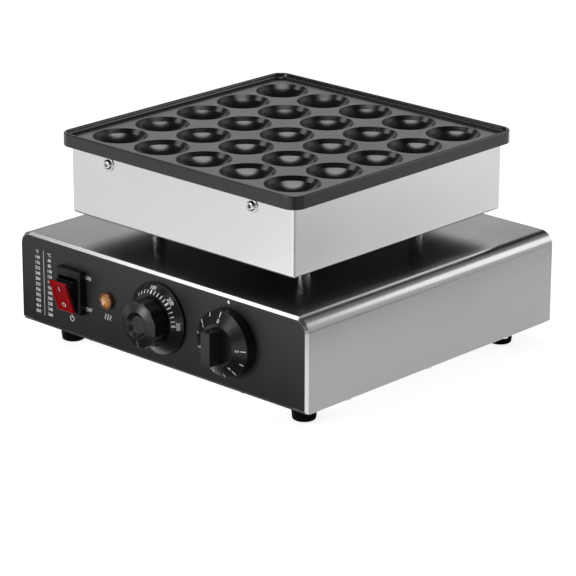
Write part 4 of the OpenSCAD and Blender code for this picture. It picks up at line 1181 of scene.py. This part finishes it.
def size_ring(x, z, radius_of):
    """Move each corner of the picked face in or out to the radius that its turn round Y calls for."""
    shape = bmesh.from_edit_mesh(bpy.context.object.data)
    for corner in {corner for face in shape.faces if face.select for corner in face.verts}:
        reach = Vector((corner.co.x - x, 0, corner.co.z - z))
        wanted = radius_of(math.atan2(reach.x, reach.z) / (2 * math.pi))
        corner.co += reach.normalized() * (wanted - reach.length)
    bmesh.update_edit_mesh(bpy.context.object.data)


def flute_radius(turn):
    share = turn * FLUTES % 1
    turn = 2 * math.pi / FLUTES * min(share, 1 - share)
    inside = FLUTE_R**2 - (flute_centre * math.sin(turn)) ** 2
    reach = flute_centre * math.cos(turn) - math.sqrt(inside) if inside > 0 else KNOB_R
    return min(reach, KNOB_R)


size_ring(thermostat_x, control_z, flute_radius)
print("knob outline corners:", len(bmesh.from_edit_mesh(knob.data).verts))

# %% Knob body, face and dish
KNOB_EDGE = mm(0.9)
FACE_RISE = mm(2.2)
FACE_START = mm(1.3)
DISH_R = mm(11.5)
DISH_LAND = mm(0.5)
DISH_FLOOR = mm(7)
DISH_DEPTH = mm(3.5)
DISH_EDGE = mm(0.5)
draw_out(y=KNOB_EDGE + FACE_RISE + knob_low.y - knob_high.y)
reach = KNOB_R
first_slope = FACE_RISE * FACE_START / (KNOB_R - KNOB_EDGE - DISH_R - DISH_LAND)
for inset, depth in round_over(KNOB_EDGE) + [(FACE_START, first_slope)]:
    draw_out(y=-depth)
    size = (reach - inset) / reach
    bpy.ops.transform.resize(value=(size, 1, size), center_override=(thermostat_x, 0, control_z))
    reach -= inset
round_face = reach - FLUTE_DEPTH
size_ring(thermostat_x, control_z, lambda turn: round_face)
step_in([(round_face - DISH_R - DISH_LAND, FACE_RISE - first_slope), (DISH_LAND, 0)])
step_in(roll_down(DISH_EDGE)[:2])
step_in([(DISH_R - DISH_FLOOR - 3 * DISH_EDGE, 2 * DISH_EDGE - DISH_DEPTH)])
step_in(floor_fillet(2 * DISH_EDGE)[1:])
close_up(knob)

# %% Pointer
POINTER_W = mm(1)
POINTER_DEEP = mm(0.6)
POINTER_SHIFT = mm(1)
PAINT_SHARE = 0.96
PAINT_SHORT = mm(2.6)
PAINT_DEEP = mm(0.35)
PAINT_SHIFT = mm(0.2)
pointer_long = KNOB_R - DISH_R
pointer_mid = (KNOB_R + DISH_R) / 2
pointer_z = control_z - pointer_mid - POINTER_SHIFT
pointer_ends = (knob_low.y - CLEAR, knob_low.y + POINTER_DEEP + FACE_RISE)
cut_with(
    knob, closed_block("pointer_cut", POINTER_W, pointer_long, thermostat_x, pointer_z, *pointer_ends)
)
shade(knob, angle=26)
settle(knob, "knob_plastic", "thermostat_control", ["thermostat_knob"])
face_slope = math.atan2(FACE_RISE, KNOB_R - KNOB_EDGE - DISH_R)
paint_rim = knob_low.y + PAINT_DEEP + FACE_RISE
paint_place = on_cone(thermostat_x, paint_rim, KNOB_R, face_slope, 180, pointer_mid + PAINT_SHIFT)
pointer = stroke(POINTER_W * PAINT_SHARE, pointer_long - PAINT_SHORT, paint_place)
print_piece("pointer_paint", [pointer], "knob_plastic", "thermostat_control", ink_grey)

# %% [markdown]
# ## The timer
#
# The timer knob has a wide sloping skirt with minute marks and a bar grip. The skirt is a disc stepped up a
# cone, with a low hub on top. The grip is a block on the hub, with its front drawn in a little and every
# edge softened by a bevel.

# %% Skirt
timer_low, timer_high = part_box("timer_knob")
timer_x = (timer_low.x + timer_high.x) / 2
SKIRT_R = (timer_high.x - timer_low.x) / 2
SKIRT_WALL = mm(9)
SKIRT_RISE = mm(5.6)
SKIRT_EDGE = mm(0.5)
HUB_R = mm(18)
HUB_STEPS = [(mm(0.3), mm(0.3)), (mm(0.8), 0)]
skirt = facing_disc("timer_grip", SKIRT_R, DIAL_SIDES, timer_x, timer_high.y, control_z)
draw_out(y=SKIRT_EDGE - SKIRT_WALL)
step_in(round_over(SKIRT_EDGE))
step_in([(SKIRT_R - SKIRT_EDGE - HUB_R, SKIRT_RISE)])
step_in(HUB_STEPS)
close_up(skirt)

# %% Grip
GRIP = (mm(10.4), mm(29.6))
GRIP_SINK = mm(0.2)
GRIP_DRAFT = 0.965
GRIP_EDGE = mm(0.7)
grip_foot = timer_high.y - SKIRT_WALL - SKIRT_RISE + GRIP_SINK
grip = facing_block("grip", *GRIP, timer_x, control_z, timer_low.y, grip_foot)
pick("FACE", lambda face: face.normal.y < -NEARLY)
bpy.ops.transform.resize(value=(GRIP_DRAFT, 1, GRIP_DRAFT), center_override=(timer_x, 0, control_z))
close_up(grip)
soften(grip, GRIP_EDGE, 4, angle=40)
join(skirt, grip)
shade(skirt)
settle(skirt, "knob_plastic", "timer_control", ["timer_knob"])

# %% Minute marks on the skirt
MINUTES = 5
MINUTE_ANGLE = 54
ZERO_R = 20.6
MINUTE_R = 20.8
MARK_OUT = 27.6
MARK_SHARE = 0.44
MARK_WIDTH = mm(0.8)
WHOLE_MARK = 4.6
HALF_MARK = 3.6
skirt_slope = math.atan2(SKIRT_RISE, SKIRT_R - HUB_R)


def on_skirt(clockwise, radius):
    return on_cone(timer_x, timer_high.y - SKIRT_WALL, SKIRT_R, skirt_slope, clockwise, mm(radius))


skirt_marks = [lettering("0", NUMBER_HEIGHT, on_skirt(0, ZERO_R))]
for half in range(2 * MINUTES + 1):
    angle = -MINUTE_ANGLE * half / 2
    whole = half % 2 == 0
    length = WHOLE_MARK if whole else HALF_MARK
    place = on_skirt(angle, MARK_OUT - length * MARK_SHARE)
    skirt_marks.append(stroke(MARK_WIDTH, mm(length), place))
    if whole and half:
        skirt_marks.append(lettering(str(half // 2), NUMBER_HEIGHT, on_skirt(angle, MINUTE_R)))
print_piece("skirt_print", skirt_marks, "knob_plastic", "timer_control")

# %% [markdown]
# ## The gland cap behind
#
# The cord entry at the back ends in a ribbed screw cap. Every second pair of corners of a disc is moved in
# to make the ribs, the disc is drawn out, and its end is rounded off before the bore is cut.

# %% Gland cap
cap_low, cap_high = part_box("gland_cap")
gland_x = (cap_low.x + cap_high.x) / 2
gland_z = (cap_low.z + cap_high.z) / 2
GLAND_R = (cap_high.x - cap_low.x) / 2
RIBS = 20
RIB_DEPTH = mm(0.6)
GROOVE_SHARE = 0.45
STRAIGHT_SHARE = 0.62
GLAND_BORE = mm(5)
GLAND_LAND = mm(0.8)
gland_long = cap_high.y - cap_low.y
groove_r = GLAND_R - RIB_DEPTH
gland_cap = facing_disc("gland_cap_ribbed", GLAND_R, RIBS * 4, gland_x, cap_low.y, gland_z, way=-1)
size_ring(gland_x, gland_z, lambda turn: GLAND_R - RIB_DEPTH * (turn * RIBS % 1 < GROOVE_SHARE))
draw_out(y=gland_long * STRAIGHT_SHARE)
size_ring(gland_x, gland_z, lambda turn: groove_r)
dome_in = groove_r - GLAND_BORE - GLAND_LAND
dome_out = gland_long * (1 - STRAIGHT_SHARE)
step_in([(inset * dome_in, depth * dome_out) for inset, depth in dome])
close_up(gland_cap)
bore_ends = (cap_low.y - CLEAR, cap_high.y + CLEAR)
cut_with(gland_cap, facing_bar("bore", GLAND_BORE, 48, gland_x, gland_z, *bore_ends))
shade(gland_cap, angle=24)
settle(gland_cap, "black_plastic", stands_for=["gland_cap"])

# %% [markdown]
# ## The solids that stay
#
# The posts, panels, feet and everything inside keep their solids. Each takes the finish of its slot, so the
# inside looks right too when a panel is taken off or the model is cut open. The floor of the casing then
# gets a near-black sheet instead, as painted shade in the gap above the base.

# %% Finish the frame's own nodes
for part in frame["record"]["subparts"]:
    node = frame["nodes"][part["node"]]
    node.data.materials.clear()
    node.data.materials.append(finishes[part["material_slot"]])
# The casing's floor takes the near-black sheet as painted shade in the gap above the base.
frame["nodes"]["casing_floor"].data.materials[0] = painted_shade_underside

# %% [markdown]
# ## Floor and cards
#
# The floor glows only for what is seen directly or in a mirror, so it looks white and adds no light to the
# machine. Bright steel shows whatever it faces, so its brightness is painted with cards on the floor that
# only mirrors see: pale ones for the sides of the base and the casing, and dark flags that keep the panel,
# the corner and the left side deep.

# %% Floor
FLOOR_PAINT = (0.5, 0.5, 0.5, 1)
FLOOR_GLOW = (0.78, 0.78, 0.78, 1)
FLOOR_SIZE = 14
FLOOR_Z = mm(-0.2)


def seen_share(tree):
    """A value that is 1 for camera, glossy and transmission rays and 0 for the rest."""
    ray = tree.nodes.new("ShaderNodeLightPath")
    total = ray.outputs["Is Camera Ray"]
    for kind in ("Is Glossy Ray", "Is Transmission Ray"):
        total = combine(tree, "ADD", total, ray.outputs[kind])
    return total


drop_selection()
bpy.ops.mesh.primitive_plane_add(size=FLOOR_SIZE, location=(0, 0, FLOOR_Z))
floor = bpy.context.object
floor.name = "floor"
floor_finish, tree, paint = new_finish("pale_floor")
paint.inputs["Base Color"].default_value = FLOOR_PAINT
paint.inputs["Roughness"].default_value = 1
paint.inputs["Specular IOR Level"].default_value = 0
paint.inputs["Emission Color"].default_value = FLOOR_GLOW
tree.links.new(seen_share(tree), paint.inputs["Emission Strength"])
floor.data.materials.append(floor_finish)
print("floor laid")

# %% Floor cards
CARD_LIFT = mm(1)


def floor_card(name, x, y, levels, way="Y", span=(-0.5, 0.5)):
    """A card on the floor that only mirrors see, from one brightness to another over a span of its size."""
    drop_selection()
    place = ((x[0] + x[1]) / 2, (y[0] + y[1]) / 2, CARD_LIFT)
    bpy.ops.mesh.primitive_plane_add(size=1, location=place)
    card = bpy.context.object
    card.name = name
    card.scale = (x[1] - x[0], y[1] - y[0], 1)
    card.visible_camera = False
    card.visible_diffuse = False
    card.visible_shadow = False
    finish, tree, paint = new_finish(name)
    tree.nodes.remove(paint)
    glow = tree.nodes.new("ShaderNodeEmission")
    along = tree.nodes.new("ShaderNodeSeparateXYZ")
    tree.links.new(object_place(tree), along.inputs[0])
    level = map_value(tree, along.outputs[way], span, levels)
    tree.links.new(level, glow.inputs["Strength"])
    tree.links.new(glow.outputs[0], tree.nodes["Material Output"].inputs["Surface"])
    card.data.materials.append(finish)


floor_card("right_card", (0.34, 0.9), (-0.4, 1.1), (0.48, 0.95), span=(-0.15, 0.12))
floor_card("left_card", (-0.7, -0.15), (-0.9, -0.28), (0.88, 1.0), "X", (-0.1, 0.4))
floor_card("front_flag", (-0.4, 0.15), (-0.27, -0.165), (0.12, 0.12))
floor_card("corner_flag", (0.38, 0.75), (-0.75, -0.36), (0.2, 0.2))
floor_card("left_flag", (-0.75, -0.35), (-0.1, 0.35), (0.2, 0.2))
print("cards laid")

# %% [markdown]
# ## Surroundings and lamps
#
# An even white surround would turn the plate and its pockets grey. So it is brightest low down behind the
# machine, where the top of the base and the land mirror it, dark towards the zenith, and has two glowing
# patches to the right for the bent edge of the base. Only the camera and mirrors see that, and the rest
# gets an even fill. Five soft lamps follow: high in the front left, over the plate for the bright patch in
# each pocket, a strip at the right, and two in front for the panel and its knobs.

# %% Surround nodes
FILL = 0.38
# Height of the direction, from level to straight up, and brightness there
SKY = [
    (0.0, 0.3), (0.2, 0.4), (0.28, 1.0), (0.38, 0.95),
    (0.46, 0.4), (0.6, 0.12), (0.75, 0.05), (0.95, 0.05),
]
surround = bpy.data.worlds.new("studio")
bpy.context.scene.world = surround
surround.use_nodes = True
tree = surround.node_tree
fill = tree.nodes["Background"]
seen = tree.nodes.new("ShaderNodeBackground")
for background in (fill, seen):
    background.inputs["Color"].default_value = (1, 1, 1, 1)
fill.inputs["Strength"].default_value = FILL
way = tree.nodes.new("ShaderNodeTexCoord").outputs["Generated"]
height = tree.nodes.new("ShaderNodeSeparateXYZ")
tree.links.new(way, height.inputs[0])
ramp = tree.nodes.new("ShaderNodeValToRGB")
tree.links.new(height.outputs["Z"], ramp.inputs["Fac"])
stops = ramp.color_ramp.elements
while len(stops) < len(SKY):
    stops.new(0.5)
for stop, (place, level) in zip(stops, SKY):
    stop.position = place
    stop.color = (level, level, level, 1)
print("sky with", len(stops), "stops")

# %% Bright sides of the surround
BEHIND = (-0.82, 0.572, 0)
RIGHT_HIGH = (0.36, 0.735, 0.575)
RIGHT_LOW = (0.6, 0.77, 0.21)


def facing(direction, edges, levels):
    """A value that goes from one level to another as the view of the surround turns to a direction."""
    turn = tree.nodes.new("ShaderNodeVectorMath")
    turn.operation = "DOT_PRODUCT"
    turn.inputs[1].default_value = direction
    tree.links.new(way, turn.inputs[0])
    return map_value(tree, turn.outputs["Value"], edges, levels)


brightness = ramp.outputs["Color"]
brightness = combine(tree, "MULTIPLY", brightness, facing(BEHIND, (0.8, 0.91), (0.3, 1)))
brightness = combine(tree, "ADD", brightness, facing(RIGHT_HIGH, (0.87, 0.985), (0, 0.5)))
brightness = combine(tree, "ADD", brightness, facing(RIGHT_LOW, (0.86, 0.98), (0, 1)))
tree.links.new(brightness, seen.inputs["Strength"])
either = tree.nodes.new("ShaderNodeMixShader")
tree.links.new(seen_share(tree), either.inputs["Fac"])
tree.links.new(fill.outputs[0], either.inputs[1])
tree.links.new(seen.outputs[0], either.inputs[2])
tree.links.new(either.outputs[0], tree.nodes["World Output"].inputs["Surface"])
print("surround made")

# %% Lamps


def direction(azimuth, elevation):
    """The way to a place, in degrees clockwise from the rear as seen from above, and up."""
    a = math.radians(azimuth)
    e = math.radians(elevation)
    return Vector((math.sin(a) * math.cos(e), math.cos(a) * math.cos(e), math.sin(e)))


def soft_lamp(name, azimuth, elevation, distance, width, tall, watts):
    """A soft lamp in a direction seen from the plate, turned to look at it."""
    way = direction(azimuth, elevation)
    light = bpy.data.lights.new(name, "AREA")
    light.shape = "ELLIPSE"
    light.size = width
    light.size_y = tall
    light.energy = watts
    lamp = bpy.data.objects.new(name, light)
    bpy.context.scene.collection.objects.link(lamp)
    lamp.location = Vector((0, 0, land)) + way * distance
    lamp.rotation_euler = way.to_track_quat("Z", "Y").to_euler()
    lamp.visible_camera = False


# Each lamp: name, azimuth, elevation, distance, width, height and power
soft_lamp("front_left_lamp", 238, 44, 2.2, 1.3, 0.6, 5)
soft_lamp("plate_lamp", 317, 88, 0.65, 0.5, 0.34, 2.3)
soft_lamp("right_strip", 40.5, 15.6, 0.93, 0.4, 0.45, 0.8)
soft_lamp("front_low_lamp", 200, 7, 2.3, 1.0, 0.6, 18)
soft_lamp("front_lamp", 184, 27, 2.3, 1.0, 0.5, 5)
print("lamps hung")

# %% [markdown]
# ## Camera
#
# The camera stands to the front right, about nineteen degrees above the table, with a long lens. Its place
# comes from matching the plate's corners, its pockets and the base's edges in the photograph.

# %% Camera
EYE = Vector((1.6543, -1.7631, 0.8868))
AZIMUTH = 43.15
ELEVATION = 19.14
ROLL = math.radians(0.15)
LENS = 184.95
SENSOR = 36
back = direction(180 - AZIMUTH, ELEVATION)
level = Vector((math.cos(math.radians(AZIMUTH)), math.sin(math.radians(AZIMUTH)), 0))
right = level * math.cos(ROLL) + back.cross(level) * math.sin(ROLL)
up = back.cross(right)
camera_data = bpy.data.cameras.new("camera")
camera_data.lens = LENS
camera_data.sensor_width = SENSOR
camera = bpy.data.objects.new("camera", camera_data)
bpy.context.scene.collection.objects.link(camera)
camera.matrix_world = Matrix.Translation(EYE) @ Matrix((right, up, back)).transposed().to_4x4()
bpy.context.scene.camera = camera
bpy.context.scene.view_settings.view_transform = "Standard"
print("camera at", list(EYE))
